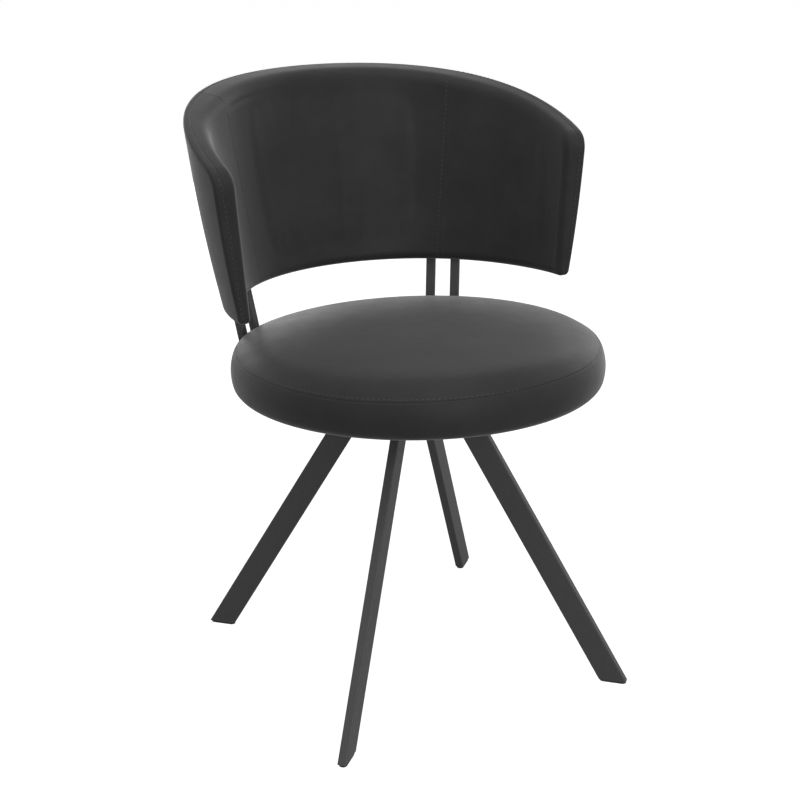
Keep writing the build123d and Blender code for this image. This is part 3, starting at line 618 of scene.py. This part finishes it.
# Rows from the seam down the foam and back in under it, and from the band's foot over the board's edge and up
FOAM_ROWS = ((229.0, 440.0), (228.0, 428.0), (226.0, 423.2),
             (221.0, FOAM_Z), (180.0, FOAM_Z), (150.0, FOAM_Z))
HEM_ROWS = ((214.0, SEAT_FOOT[1]), (206.5, SEAT_FOOT[1]), (205.2, 405.3), (206.5, 406.1), (214.0, 406.2))
BAND_INSIDE_ROWS = ((223.0, 406.6), (225.0, 409.0), (226.5, 420.0), (227.0, 432.0), (228.0, 444.0))

# The top stands higher towards the front and rolls over there; its seam rises and falls a little
FRONT_LIFT, FRONT_ROLL = 9.5, 31.0
LIFT_FROM_Z, LIFT_FADE = 445.0, 8.0
SEAM_WAVES = ((2.2, 285.0, 26.0), (-2.0, 220.0, 22.0))
WAVE_REACH, WAVE_FOOT_Z = 45.0, SEAT_FOOT[1] + 8.0

SEAT_TUCK, SEAT_PRESSURE, SEAT_CAP = 1.2, 4.0, 3.0
SEAT_PUFF_RADIUS, SEAT_PUFF_FADE, SEAT_PUFF_Z = 228.0, 60.0, 450.0
SEAT_DENTS, BAND_DENTS = ((0.7, 7.0, 5), (0.2, 22.0, 6)), ((0.5, 9.0, 7), (0.3, 28.0, 8))
BAND_MIDDLE, BAND_HALF, BAND_INNER = 430.0, 20.0, 232.0


def crown_circle():
    """Centre height and radius of the arc over the middle of the seat."""
    drop = SEAT_CROWN_Z - SEAT_SHOULDER[1]
    radius = (SEAT_SHOULDER[0] ** 2 + drop ** 2) / (2 * drop)
    return SEAT_CROWN_Z - radius, radius


def shoulder_circle():
    """Centre and radius of the arc from the crown to the seam, tangent to the crown."""
    low, _ = crown_circle()
    nr, nz = -SEAT_SHOULDER[0], low - SEAT_SHOULDER[1]
    size = math.hypot(nr, nz)
    nr, nz = nr / size, nz / size
    dr, dz = SEAT_SEAM[0] - SEAT_SHOULDER[0], SEAT_SEAM[1] - SEAT_SHOULDER[1]
    radius = (dr * dr + dz * dz) / (2 * (nr * dr + nz * dz))
    return SEAT_SHOULDER[0] + nr * radius, SEAT_SHOULDER[1] + nz * radius, radius


CROWN_Z0, CROWN_R = crown_circle()
SHOULDER_R0, SHOULDER_Z0, SHOULDER_R = shoulder_circle()
SIDE_R0, SIDE_Z0, SIDE_R = circle_through(SEAT_SEAM, SEAT_WIDEST, SEAT_FOOT)


def crown_z(r):
    """Height of the top of the seat at a distance from its axis."""
    crown = CROWN_Z0 + np.sqrt(CROWN_R ** 2 - np.minimum(r, SEAT_SHOULDER[0]) ** 2)
    shoulder = SHOULDER_Z0 + np.sqrt(np.maximum(SHOULDER_R ** 2 - (r - SHOULDER_R0) ** 2, 0))
    return np.where(r <= SEAT_SHOULDER[0], crown, shoulder)


def front_lift(points):
    """How much higher the top stands towards its front, where the edge rolls over more steeply."""
    reach = np.linalg.norm(points[:, :2], axis=1)
    forward = 0.5 - 0.5 * points[:, 1] / np.maximum(reach, TINY)
    in_from_seam = np.clip((SEAT_SEAM[0] - reach) / FRONT_ROLL, 0, 1)
    over_middle = np.clip(reach / SEAT_SHOULDER[0], 0, 1)
    on_top = np.clip((points[:, 2] - LIFT_FROM_Z) / LIFT_FADE, 0, 1)
    rise = np.sin(in_from_seam * math.pi / 2) * over_middle * over_middle
    return FRONT_LIFT * rise * forward * on_top


def seam_wave(points):
    """Small rise and fall of the sewn seam round the front of the seat."""
    turn = np.arctan2(points[:, 1], points[:, 0])
    wave = sum(size * np.exp(-(np.degrees(wrapped(turn - math.radians(place))) / width) ** 2)
               for size, place, width in SEAM_WAVES)
    reach = np.linalg.norm(points[:, :2], axis=1)
    above = np.clip(1 - (SEAT_SEAM[0] - reach) / WAVE_REACH, 0, 1)
    below = np.clip((points[:, 2] - WAVE_FOOT_Z) / (SEAT_SEAM[1] - WAVE_FOOT_Z), 0, 1)
    return wave * above * below


def turned_in(along, outward, rounding, depths):
    """Rows of a panel edge that rolls into the seat's seam; along points at the seam."""
    rows = []
    for t in SEAM_TURN:
        back, down = rounding * (1 - math.sin(t)), rounding * (1 - math.cos(t))
        rows.append((SEAT_SEAM[0] - along[0] * back - outward[0] * down,
                     SEAT_SEAM[1] - along[1] * back - outward[1] * down))
    rows += [(SEAT_SEAM[0] - outward[0] * down, SEAT_SEAM[1] - outward[1] * down) for down in depths]
    return rows


def top_profile():
    """Rows of the top panel and of the foam under it, from the disc out, down and back in."""
    outward = ((SEAT_SEAM[0] - SHOULDER_R0) / SHOULDER_R, (SEAT_SEAM[1] - SHOULDER_Z0) / SHOULDER_R)
    along = (outward[1], -outward[0])
    end = SEAT_SEAM[0] - along[0] * TOP_SEAM_ROUNDING
    rs = DISC_RADIUS + (end - DISC_RADIUS) * far_end(np.linspace(0, 1, 21)[1:-1])
    rows = [(r, float(crown_z(r))) for r in rs]
    return [*rows, *turned_in(along, outward, TOP_SEAM_ROUNDING, TOP_SEAM_DEPTHS), *FOAM_ROWS]


def boxing_profile():
    """Closed rows of the side band: down the outside, under the board and up the inside."""
    outward = ((SEAT_SEAM[0] - SIDE_R0) / SIDE_R, (SEAT_SEAM[1] - SIDE_Z0) / SIDE_R)
    along = (-outward[1], outward[0])
    foot_z = SEAT_FOOT[1] + FOOT_ROUNDING
    foot_r = SIDE_R0 + math.sqrt((SIDE_R - FOOT_ROUNDING) ** 2 - (foot_z - SIDE_Z0) ** 2)
    seam_angle = math.atan2(SEAT_SEAM[1] - SIDE_Z0, SEAT_SEAM[0] - SIDE_R0)
    start = math.degrees(seam_angle - BAND_SEAM_ROUNDING / SIDE_R)
    stop = math.degrees(math.atan2(foot_z - SIDE_Z0, foot_r - SIDE_R0))
    return [*turned_in(along, outward, BAND_SEAM_ROUNDING, BAND_SEAM_DEPTHS)[::-1],
            *arc(SIDE_R0, SIDE_Z0, SIDE_R, start, stop, 9)[1:],
            *arc(foot_r, foot_z, FOOT_ROUNDING, stop, -90, 8)[1:], *HEM_ROWS, *BAND_INSIDE_ROWS]


def disc_grid():
    """Square grid pressed into a disc, and the numbers of its rim in order round it."""
    n = DISC
    ids = np.arange((n + 1) * (n + 1)).reshape(n + 1, n + 1)
    t = np.linspace(-1, 1, n + 1)
    a, b = np.meshgrid(t, t, indexing="ij")
    with np.errstate(divide="ignore", invalid="ignore"):
        wide = np.abs(a) >= np.abs(b)
        r = np.where(wide, a, b)
        angle = np.where(wide, (math.pi / 4) * b / a, math.pi / 2 - (math.pi / 4) * a / b)
    angle = np.nan_to_num(angle)
    xy = np.stack([r * np.cos(angle), r * np.sin(angle)], axis=-1) * DISC_RADIUS
    rim = np.concatenate([ids[n, :], ids[n - 1::-1, n], ids[0, n - 1::-1], ids[1:n, 0]])
    return xy.reshape(-1, 2), rim, grid_quads(ids)


def ring_quads(first, second):
    """Quads between two closed rings."""
    count = len(first)
    return [(first[i], second[i], second[(i + 1) % count], first[(i + 1) % count]) for i in range(count)]


def ring(radius, z, angle):
    return np.column_stack([radius * np.cos(angle), radius * np.sin(angle), np.full(len(angle), z)])


def seat_piece(name, verts, faces):
    """An object from upright millimetres about the seat's axis."""
    points = np.array(verts, float)
    points[:, 2] += front_lift(points) + seam_wave(points)
    points[:, 1] += SEAT_Y
    return mesh_object(name, reclined(points), faces)


def make_seat_top():
    xy, rim, quads = disc_grid()
    per_disc = len(xy)
    verts = [np.column_stack([xy, crown_z(np.linalg.norm(xy, axis=1))])]
    faces = list(quads)
    angle = np.arctan2(xy[rim, 1], xy[rim, 0])
    inside, total = rim, per_disc
    for r, z in top_profile():
        verts.append(ring(r, z, angle))
        outside = total + np.arange(len(rim))
        faces += ring_quads(inside, outside)
        inside, total = outside, total + len(rim)
    verts.append(np.column_stack([xy, np.full(per_disc, FOAM_Z)]))
    faces += [tuple(i + total for i in reversed(quad)) for quad in quads]
    faces += ring_quads(inside, rim + total)
    verts = np.concatenate(verts)
    piece = seat_piece("seat_top", verts, faces)
    in_from_edge = (SEAT_PUFF_RADIUS - np.linalg.norm(verts[:, :2], axis=1)) / SEAT_PUFF_FADE
    free = np.where(verts[:, 2] > SEAT_PUFF_Z, smoothstep(in_from_edge), 0.0)
    puffed(piece, free, SEAT_TUCK, SEAT_PRESSURE, SEAT_CAP)
    displaced(piece, free * dents(points_of(piece.data), SEAT_DENTS))
    smooth(piece)
    dress(piece, ["seat_cover_top", "seat_foam"])
    return piece


def make_boxing():
    rows = boxing_profile()
    count = 4 * DISC
    angle = 2 * np.pi * np.arange(count) / count
    verts = np.concatenate([ring(r, z, angle) for r, z in rows])
    faces = []
    for k in range(len(rows)):
        above = k * count + np.arange(count)
        below = (k + 1) % len(rows) * count + np.arange(count)
        faces += ring_quads(above, below)
    piece = seat_piece("seat_boxing_band", verts, faces)
    outside = np.linalg.norm(verts[:, :2], axis=1) > BAND_INNER
    band = np.clip(1 - np.abs(verts[:, 2] - BAND_MIDDLE) / BAND_HALF, 0, 1) * outside
    displaced(piece, band * dents(points_of(piece.data), BAND_DENTS))
    smooth(piece)
    dress(piece, ["seat_boxing"])
    return piece


seat_top = make_seat_top()
seat_band = make_boxing()

# --------------------
# Stitches: small rolls of thread laid along the seams
# --------------------
STITCH_PITCH, STITCH_LENGTH, THREAD = 6.4, 3.2, 0.32
THREAD_SWELL = (0.45, 0.9, 1.0, 0.9, 0.45)
THREAD_LIFT = (-0.12, 0.16, 0.22, 0.16, -0.12)
THREAD_FLATNESS, THREAD_SIDES = 0.8, 8
SEAM_STITCH_OFF, RIM_STITCH_OFF, RIM_SEAM_GAP, SEAT_STITCH_OFF, STITCH_END = 7.5, 3.4, 2.2, 2.6, 3.0
MIRROR = np.array([-1.0, 1.0, 1.0])


def surface_tree(piece):
    work = bmesh.new()
    work.from_mesh(piece.data)
    tree = BVHTree.FromBMesh(work)
    work.free()
    return tree


def stitch(ends, base):
    """Vertices and faces of one stitch through points and normals on a surface, numbered from base."""
    sides, verts, faces = THREAD_SIDES, [], []
    along = (ends[-1][0] - ends[0][0]).normalized()
    for (spot, normal), swell, lift in zip(ends, THREAD_SWELL, THREAD_LIFT):
        across = along.cross(normal).normalized()
        thick = THREAD * MM * swell
        for a in range(sides):
            c, s = math.cos(2 * math.pi * a / sides), math.sin(2 * math.pi * a / sides)
            verts.append(spot + normal * (lift * MM + thick * THREAD_FLATNESS * s) + across * (thick * c))
    for k in range(0, sides * (len(ends) - 1), sides):
        for a in range(sides):
            b = (a + 1) % sides
            faces.append((base + k + a, base + k + b, base + k + sides + b, base + k + sides + a))
    last = base + sides * (len(ends) - 1)
    faces.append(tuple(base + a for a in reversed(range(sides))))
    faces.append(tuple(last + a for a in range(sides)))
    return verts, faces


def stitches(name, runs):
    """One piece with the stitches of several lines in metres, each given with the surface that it lies on."""
    verts, faces = [], []
    half = STITCH_LENGTH * MM / 2
    for points, tree in runs:
        length = np.concatenate([[0], np.cumsum(np.linalg.norm(np.diff(points, axis=0), axis=1))])
        for place in np.arange(STITCH_PITCH * MM / 2, length[-1], STITCH_PITCH * MM):
            ends = []
            for t in np.linspace(place - half, place + half, len(THREAD_SWELL)):
                point = Vector([np.interp(t, length, points[:, k]) for k in range(3)])
                ends.append(tree.find_nearest(point)[:2])
            new_verts, new_faces = stitch(ends, len(verts))
            verts += new_verts
            faces += new_faces
    piece = mesh_object(name, verts, faces)
    for poly in piece.data.polygons:
        poly.use_smooth = True
    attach(piece, "seat")
    return piece


def seam_line(radius_of):
    """A line on the centre panel, beside the right seam."""
    low = seam_end(radius_of, -SEAM_STITCH_OFF, False)[1] + STITCH_END
    high = seam_end(radius_of, -SEAM_STITCH_OFF, True)[1] - STITCH_END
    h = np.linspace(low, high, 120)
    r = radius_of(h)
    return back_point(seam_phi(r, h) - SEAM_STITCH_OFF / r, r, h)


def rim_line():
    """A line on the rim of the right outer panel, beside the parting seam."""
    panel = Panel("wing", False)
    phi, h = panel.path(1.0, -RIM_STITCH_OFF, RIM_SEAM_GAP, 0.0)[0]
    return back_point(phi, panel.depth_radius(h, 1.0, -RIM_STITCH_OFF), h)


def seat_line():
    """A ring on the top panel of the seat, just inside its seam."""
    r = SEAT_SEAM[0] - SEAT_STITCH_OFF
    points = ring(r, float(crown_z(r)), np.linspace(0, 2 * np.pi, 400))
    points[:, 1] += SEAT_Y
    return reclined(points)


def both_sides(line, right, left):
    """A line and its mirror image, with the pieces that they lie on."""
    return [(line, trees[right]), (line * MIRROR, trees[left])]


trees = {piece.name: surface_tree(piece) for piece in [*panels, seat_top, seat_band]}
inner, outer = seam_line(inner_radius), seam_line(outer_radius)
thread_pieces = [
    stitches("back_stitches_inner", both_sides(inner, "back_inner_centre", "back_inner_centre")),
    stitches("back_stitches_outer", both_sides(outer, "back_outer_centre", "back_outer_centre")),
    stitches("back_stitches_rim", both_sides(rim_line(), "back_outer_right", "back_outer_left")),
    stitches("seat_stitches", [(seat_line(), trees["seat_top"])]),
]


# --------------------
# Materials. Scales are per metre, distances in metres and grey levels in sRGB from 0 to 255.
# --------------------
def shader(name):
    """A new material with its node tree, main shader and object coordinates."""
    material = bpy.data.materials.new(name)
    material.use_nodes = True
    tree = material.node_tree
    main = tree.nodes["Principled BSDF"]
    where = tree.nodes.new("ShaderNodeTexCoord").outputs["Object"]
    return material, tree, main, where


def noise_value(tree, where, scale, detail=3.0, roughness=0.5, stretch=None):
    """Noise from 0 to 1 over object coordinates."""
    node = tree.nodes.new("ShaderNodeTexNoise")
    node.inputs["Scale"].default_value = scale
    node.inputs["Detail"].default_value = detail
    node.inputs["Roughness"].default_value = roughness
    if stretch:
        mapping = tree.nodes.new("ShaderNodeMapping")
        mapping.inputs["Scale"].default_value = stretch
        tree.links.new(where, mapping.inputs["Vector"])
        where = mapping.outputs[0]
    tree.links.new(where, node.inputs["Vector"])
    return node.outputs["Fac"]


def ramp(tree, value, stops):
    """Colours along a value; each stop is (position, colour)."""
    node = tree.nodes.new("ShaderNodeValToRGB")
    while len(node.color_ramp.elements) < len(stops):
        node.color_ramp.elements.new(0.5)
    for element, (position, colour) in zip(node.color_ramp.elements, stops):
        element.position = position
        element.color = (*colour, 1)
    tree.links.new(value, node.inputs["Fac"])
    return node.outputs["Color"]


def spread(tree, value, low, high, from_low=0.3, from_high=0.7):
    """A value stretched to a new range."""
    node = tree.nodes.new("ShaderNodeMapRange")
    node.inputs["From Min"].default_value = from_low
    node.inputs["From Max"].default_value = from_high
    node.inputs["To Min"].default_value = low
    node.inputs["To Max"].default_value = high
    tree.links.new(value, node.inputs["Value"])
    return node.outputs["Result"]


def bump(tree, height, distance, strength, below=None):
    """Bump from a height, laid over another bump."""
    node = tree.nodes.new("ShaderNodeBump")
    node.inputs["Distance"].default_value = distance
    node.inputs["Strength"].default_value = strength
    tree.links.new(height, node.inputs["Height"])
    if below is not None:
        tree.links.new(below, node.inputs["Normal"])
    return node.outputs["Normal"]


def arithmetic(tree, operation, first, second):
    """A product, maximum or the like of two values; the second may be a number."""
    node = tree.nodes.new("ShaderNodeMath")
    node.operation = operation
    tree.links.new(first, node.inputs[0])
    if isinstance(second, float):
        node.inputs[1].default_value = second
    else:
        tree.links.new(second, node.inputs[1])
    return node.outputs[0]


def blend(tree, share, first, second):
    """Two colours mixed by a share."""
    node = tree.nodes.new("ShaderNodeMix")
    node.data_type = "RGBA"
    factor, a, b = node.inputs[0], node.inputs[6], node.inputs[7]
    tree.links.new(share, factor)
    tree.links.new(first, a)
    tree.links.new(second, b)
    return node.outputs[2]


def grey(level):
    """Linear colour of a grey level."""
    v = level / 255
    v = v / 12.92 if v <= 0.04045 else ((v + 0.055) / 1.055) ** 2.4
    return v, v, v


def leather():
    material, tree, main, where = shader("charcoal_leather")
    cloud = noise_value(tree, where, 14.0, 4.0, 0.55)
    colour = ramp(tree, cloud, [(0.25, grey(54)), (0.5, grey(59)), (0.78, grey(64))])
    tree.links.new(colour, main.inputs["Base Color"])
    rough = spread(tree, noise_value(tree, where, 55.0, 3.0), 0.40, 0.50)
    tree.links.new(rough, main.inputs["Roughness"])
    cells = tree.nodes.new("ShaderNodeTexVoronoi")
    cells.feature = "SMOOTH_F1"
    cells.inputs["Scale"].default_value = 620.0
    tree.links.new(where, cells.inputs["Vector"])
    grain = bump(tree, cells.outputs["Distance"], 0.00025, 0.22)
    pores = bump(tree, noise_value(tree, where, 1500.0, 2.0), 0.0001, 0.2, grain)
    drift = bump(tree, noise_value(tree, where, 70.0, 2.0), 0.0006, 0.25, pores)
    tree.links.new(drift, main.inputs["Normal"])
    main.inputs["Specular IOR Level"].default_value = 0.07
    main.inputs["Sheen Weight"].default_value = 0.46
    main.inputs["Sheen Roughness"].default_value = 0.45
    main.inputs["Sheen Tint"].default_value = (0.98, 0.985, 1.0, 1)
    return material


def sharp_edges(tree, radius):
    """0 on flat faces, up to 1 near sharp edges."""
    rounded = tree.nodes.new("ShaderNodeBevel")
    rounded.samples = 4
    rounded.inputs["Radius"].default_value = radius
    flat = tree.nodes.new("ShaderNodeNewGeometry")
    turned = tree.nodes.new("ShaderNodeVectorMath")
    turned.operation = "DOT_PRODUCT"
    tree.links.new(rounded.outputs[0], turned.inputs[0])
    tree.links.new(flat.outputs["Normal"], turned.inputs[1])
    return spread(tree, turned.outputs["Value"], 1.0, 0.0, 0.75, 0.98)


def powder_coat(name, level, roughness):
    """Fine orange peel, worn lighter along the edges."""
    material, tree, main, where = shader(name)
    fine = noise_value(tree, where, 160.0, 4.0, 0.6)
    base = ramp(tree, fine, [(0.3, grey(level - 3)), (0.7, grey(level + 3))])
    bare = ramp(tree, fine, [(0.3, grey(level + 26)), (0.7, grey(level + 42))])
    patches = spread(tree, noise_value(tree, where, 60.0, 4.0, 0.65), 0.1, 0.7)
    worn = arithmetic(tree, "MULTIPLY", sharp_edges(tree, 0.0007), patches)
    tree.links.new(blend(tree, worn, base, bare), main.inputs["Base Color"])
    tree.links.new(spread(tree, fine, roughness - 0.05, roughness + 0.05), main.inputs["Roughness"])
    peel = bump(tree, noise_value(tree, where, 900.0, 3.0), 0.0002, 0.25)
    drift = bump(tree, noise_value(tree, where, 240.0, 2.0), 0.0003, 0.15, peel)
    tree.links.new(drift, main.inputs["Normal"])
    return material


def plated(name, level, metallic, roughness, stretch):
    """Metal with fine lines, drawn out along one axis."""
    material, tree, main, where = shader(name)
    lines = noise_value(tree, where, 380.0, 4.0, 0.6, stretch)
    colour = ramp(tree, lines, [(0.3, grey(level - 10)), (0.7, grey(level + 8))])
    tree.links.new(colour, main.inputs["Base Color"])
    tree.links.new(spread(tree, lines, roughness - 0.08, roughness + 0.08), main.inputs["Roughness"])
    tree.links.new(bump(tree, lines, 0.0001, 0.15), main.inputs["Normal"])
    main.inputs["Metallic"].default_value = metallic
    return material


def plywood():
    material, tree, main, where = shader("birch_plywood")
    layers = noise_value(tree, where, 30.0, 5.0, 0.6, (1.0, 1.0, 22.0))
    browns = [(0.3, (0.36, 0.22, 0.11)), (0.5, (0.52, 0.36, 0.20)), (0.72, (0.62, 0.46, 0.28))]
    colour = ramp(tree, layers, browns)
    tree.links.new(colour, main.inputs["Base Color"])
    tree.links.new(spread(tree, layers, 0.55, 0.75), main.inputs["Roughness"])
    tree.links.new(bump(tree, layers, 0.0003, 0.3), main.inputs["Normal"])
    return material


def fibres(name, level, scale, roughness):
    """Foam, cloth or thread: a fine, rough tangle."""
    material, tree, main, where = shader(name)
    tangle = noise_value(tree, where, scale, 6.0, 0.75)
    colour = ramp(tree, tangle, [(0.3, grey(level - 12)), (0.7, grey(level + 12))])
    tree.links.new(colour, main.inputs["Base Color"])
    main.inputs["Roughness"].default_value = roughness
    tree.links.new(bump(tree, tangle, 0.0004, 0.6), main.inputs["Normal"])
    return material


MATERIALS = {
    "leather": leather(),
    "powder_coat": powder_coat("graphite_powder_coat", 75, 0.48),
    "nylon": powder_coat("black_nylon", 42, 0.55),
    "zinc_plate": plated("zinc_plate", 168, 1.0, 0.38, (1.0, 1.0, 6.0)),
    "ball_steel": plated("ball_steel", 200, 1.0, 0.16, (1.0, 1.0, 1.0)),
    "black_steel": plated("black_steel", 62, 0.7, 0.42, (1.0, 1.0, 4.0)),
    "plywood": plywood(),
    "foam": fibres("pale_foam", 205, 900.0, 0.9),
    "dust_cloth": fibres("black_dust_cloth", 46, 1400.0, 0.95),
}
thread_material = fibres("grey_thread", 86, 2500.0, 0.7)


def finish_with(piece, material):
    piece.data.materials.clear()
    piece.data.materials.append(material)


node_slots = {part["node"]: part["material_slot"] for part in frame["record"]["subparts"]}
for name, node in frame["nodes"].items():
    finish_with(node, MATERIALS[node_slots[name]])
for piece in [*panels, seat_top, seat_band]:
    finish_with(piece, MATERIALS["leather"])
for piece in thread_pieces:
    finish_with(piece, thread_material)

# --------------------
# Camera, white background, floor and lights, in metres
# --------------------
AZIMUTH, ELEVATION = math.radians(-28.127), math.radians(20.354)
DISTANCE, AIM_RIGHT, AIM_Z = 2.0488, -0.01592, 0.3737
FOCAL_LENGTH, SENSOR_WIDTH = 69.98, 36.0
GLOSS_OF_BACKGROUND, GLOSS_OF_FLOOR, FLOOR_GLOW = 1.0, 0.3, 0.99
FLOOR_HALF, FLOOR_COLOUR = 24.0, (0.45, 0.45, 0.45, 1)

# Each light has its azimuth, from behind (+Y) towards the right (+X), its elevation and its power in watts
LIGHTS = {
    "top_light": (0, 88, 19.5),
    "top_left_light": (-62, 60, 1.8),
    "top_front_light": (208, 62, 20),
    "front_light": (192, 16, 24),
    "front_right_light": (132, 20, 6),
    "back_right_light": (66, 18, 11),
    "back_light": (6, 5, 13),
}
LIGHT_AIM, LIGHT_DISTANCE, LIGHT_SIZE = Vector((0, 0, 0.45)), 3.0, 1.6


def make_camera():
    backward = Vector((math.sin(AZIMUTH) * math.cos(ELEVATION), -math.cos(AZIMUTH) * math.cos(ELEVATION),
                       math.sin(ELEVATION)))
    rightward = Vector((math.cos(AZIMUTH), math.sin(AZIMUTH), 0))
    turn = Matrix((rightward, backward.cross(rightward), backward)).transposed().to_4x4()
    data = bpy.data.cameras.new("camera")
    data.lens = FOCAL_LENGTH
    data.sensor_width = SENSOR_WIDTH
    camera = bpy.data.objects.new("camera", data)
    scene.collection.objects.link(camera)
    place = Vector((0, 0, AIM_Z)) + rightward * AIM_RIGHT + backward * DISTANCE
    camera.matrix_world = Matrix.Translation(place) @ turn
    scene.camera = camera


def background_rays(tree, gloss):
    """1 for rays that see the white background: camera and transmission rays, and glossy rays by a share."""
    rays = tree.nodes.new("ShaderNodeLightPath").outputs
    seen = arithmetic(tree, "MULTIPLY", rays["Is Glossy Ray"], gloss)
    for kind in ("Is Camera Ray", "Is Transmission Ray"):
        seen = arithmetic(tree, "MAXIMUM", seen, rays[kind])
    return seen


def make_world():
    """White where it is seen, dark where it would light the object."""
    scene.world = bpy.data.worlds.new("studio")
    scene.world.use_nodes = True
    tree = scene.world.node_tree
    tree.nodes.clear()
    dark, white = tree.nodes.new("ShaderNodeBackground"), tree.nodes.new("ShaderNodeBackground")
    dark.inputs["Strength"].default_value = 0.0
    white.inputs["Color"].default_value = (1, 1, 1, 1)
    white.inputs["Strength"].default_value = 1.0
    mix, out = tree.nodes.new("ShaderNodeMixShader"), tree.nodes.new("ShaderNodeOutputWorld")
    tree.links.new(background_rays(tree, GLOSS_OF_BACKGROUND), mix.inputs["Fac"])
    tree.links.new(dark.outputs[0], mix.inputs[1])
    tree.links.new(white.outputs[0], mix.inputs[2])
    tree.links.new(mix.outputs[0], out.inputs["Surface"])


def make_floor():
    """A pale floor that glows only where it is seen, so that it looks white and keeps the shadow."""
    mesh = bpy.data.meshes.new("floor")
    corners = [(FLOOR_HALF * x, FLOOR_HALF * y, 0) for x, y in ((-1, -1), (1, -1), (1, 1), (-1, 1))]
    mesh.from_pydata(corners, [], [(0, 1, 2, 3)])
    floor = bpy.data.objects.new("floor", mesh)
    scene.collection.objects.link(floor)
    material, tree, main, _ = shader("white_floor")
    main.inputs["Base Color"].default_value = FLOOR_COLOUR
    main.inputs["Roughness"].default_value = 0.9
    main.inputs["Specular IOR Level"].default_value = 0.0
    glow, total = tree.nodes.new("ShaderNodeEmission"), tree.nodes.new("ShaderNodeAddShader")
    level = arithmetic(tree, "MULTIPLY", background_rays(tree, GLOSS_OF_FLOOR), FLOOR_GLOW)
    tree.links.new(level, glow.inputs["Strength"])
    tree.links.new(main.outputs[0], total.inputs[0])
    tree.links.new(glow.outputs[0], total.inputs[1])
    tree.links.new(total.outputs[0], tree.nodes["Material Output"].inputs["Surface"])
    mesh.materials.append(material)


def make_light(name, azimuth, elevation, power):
    """A soft square light on a dome round the chair, which the camera doesn't see."""
    a, e = math.radians(azimuth), math.radians(elevation)
    outward = Vector((math.sin(a) * math.cos(e), math.cos(a) * math.cos(e), math.sin(e)))
    data = bpy.data.lights.new(name, "AREA")
    data.size = LIGHT_SIZE
    data.energy = power
    light = bpy.data.objects.new(name, data)
    scene.collection.objects.link(light)
    light.location = LIGHT_AIM + outward * LIGHT_DISTANCE
    light.rotation_euler = (-outward).to_track_quat("-Z", "Y").to_euler()
    light.visible_camera = False


make_camera()
make_world()
make_floor()
for name, (azimuth, elevation, power) in LIGHTS.items():
    make_light(name, azimuth, elevation, power)
scene.view_settings.view_transform = "Standard"
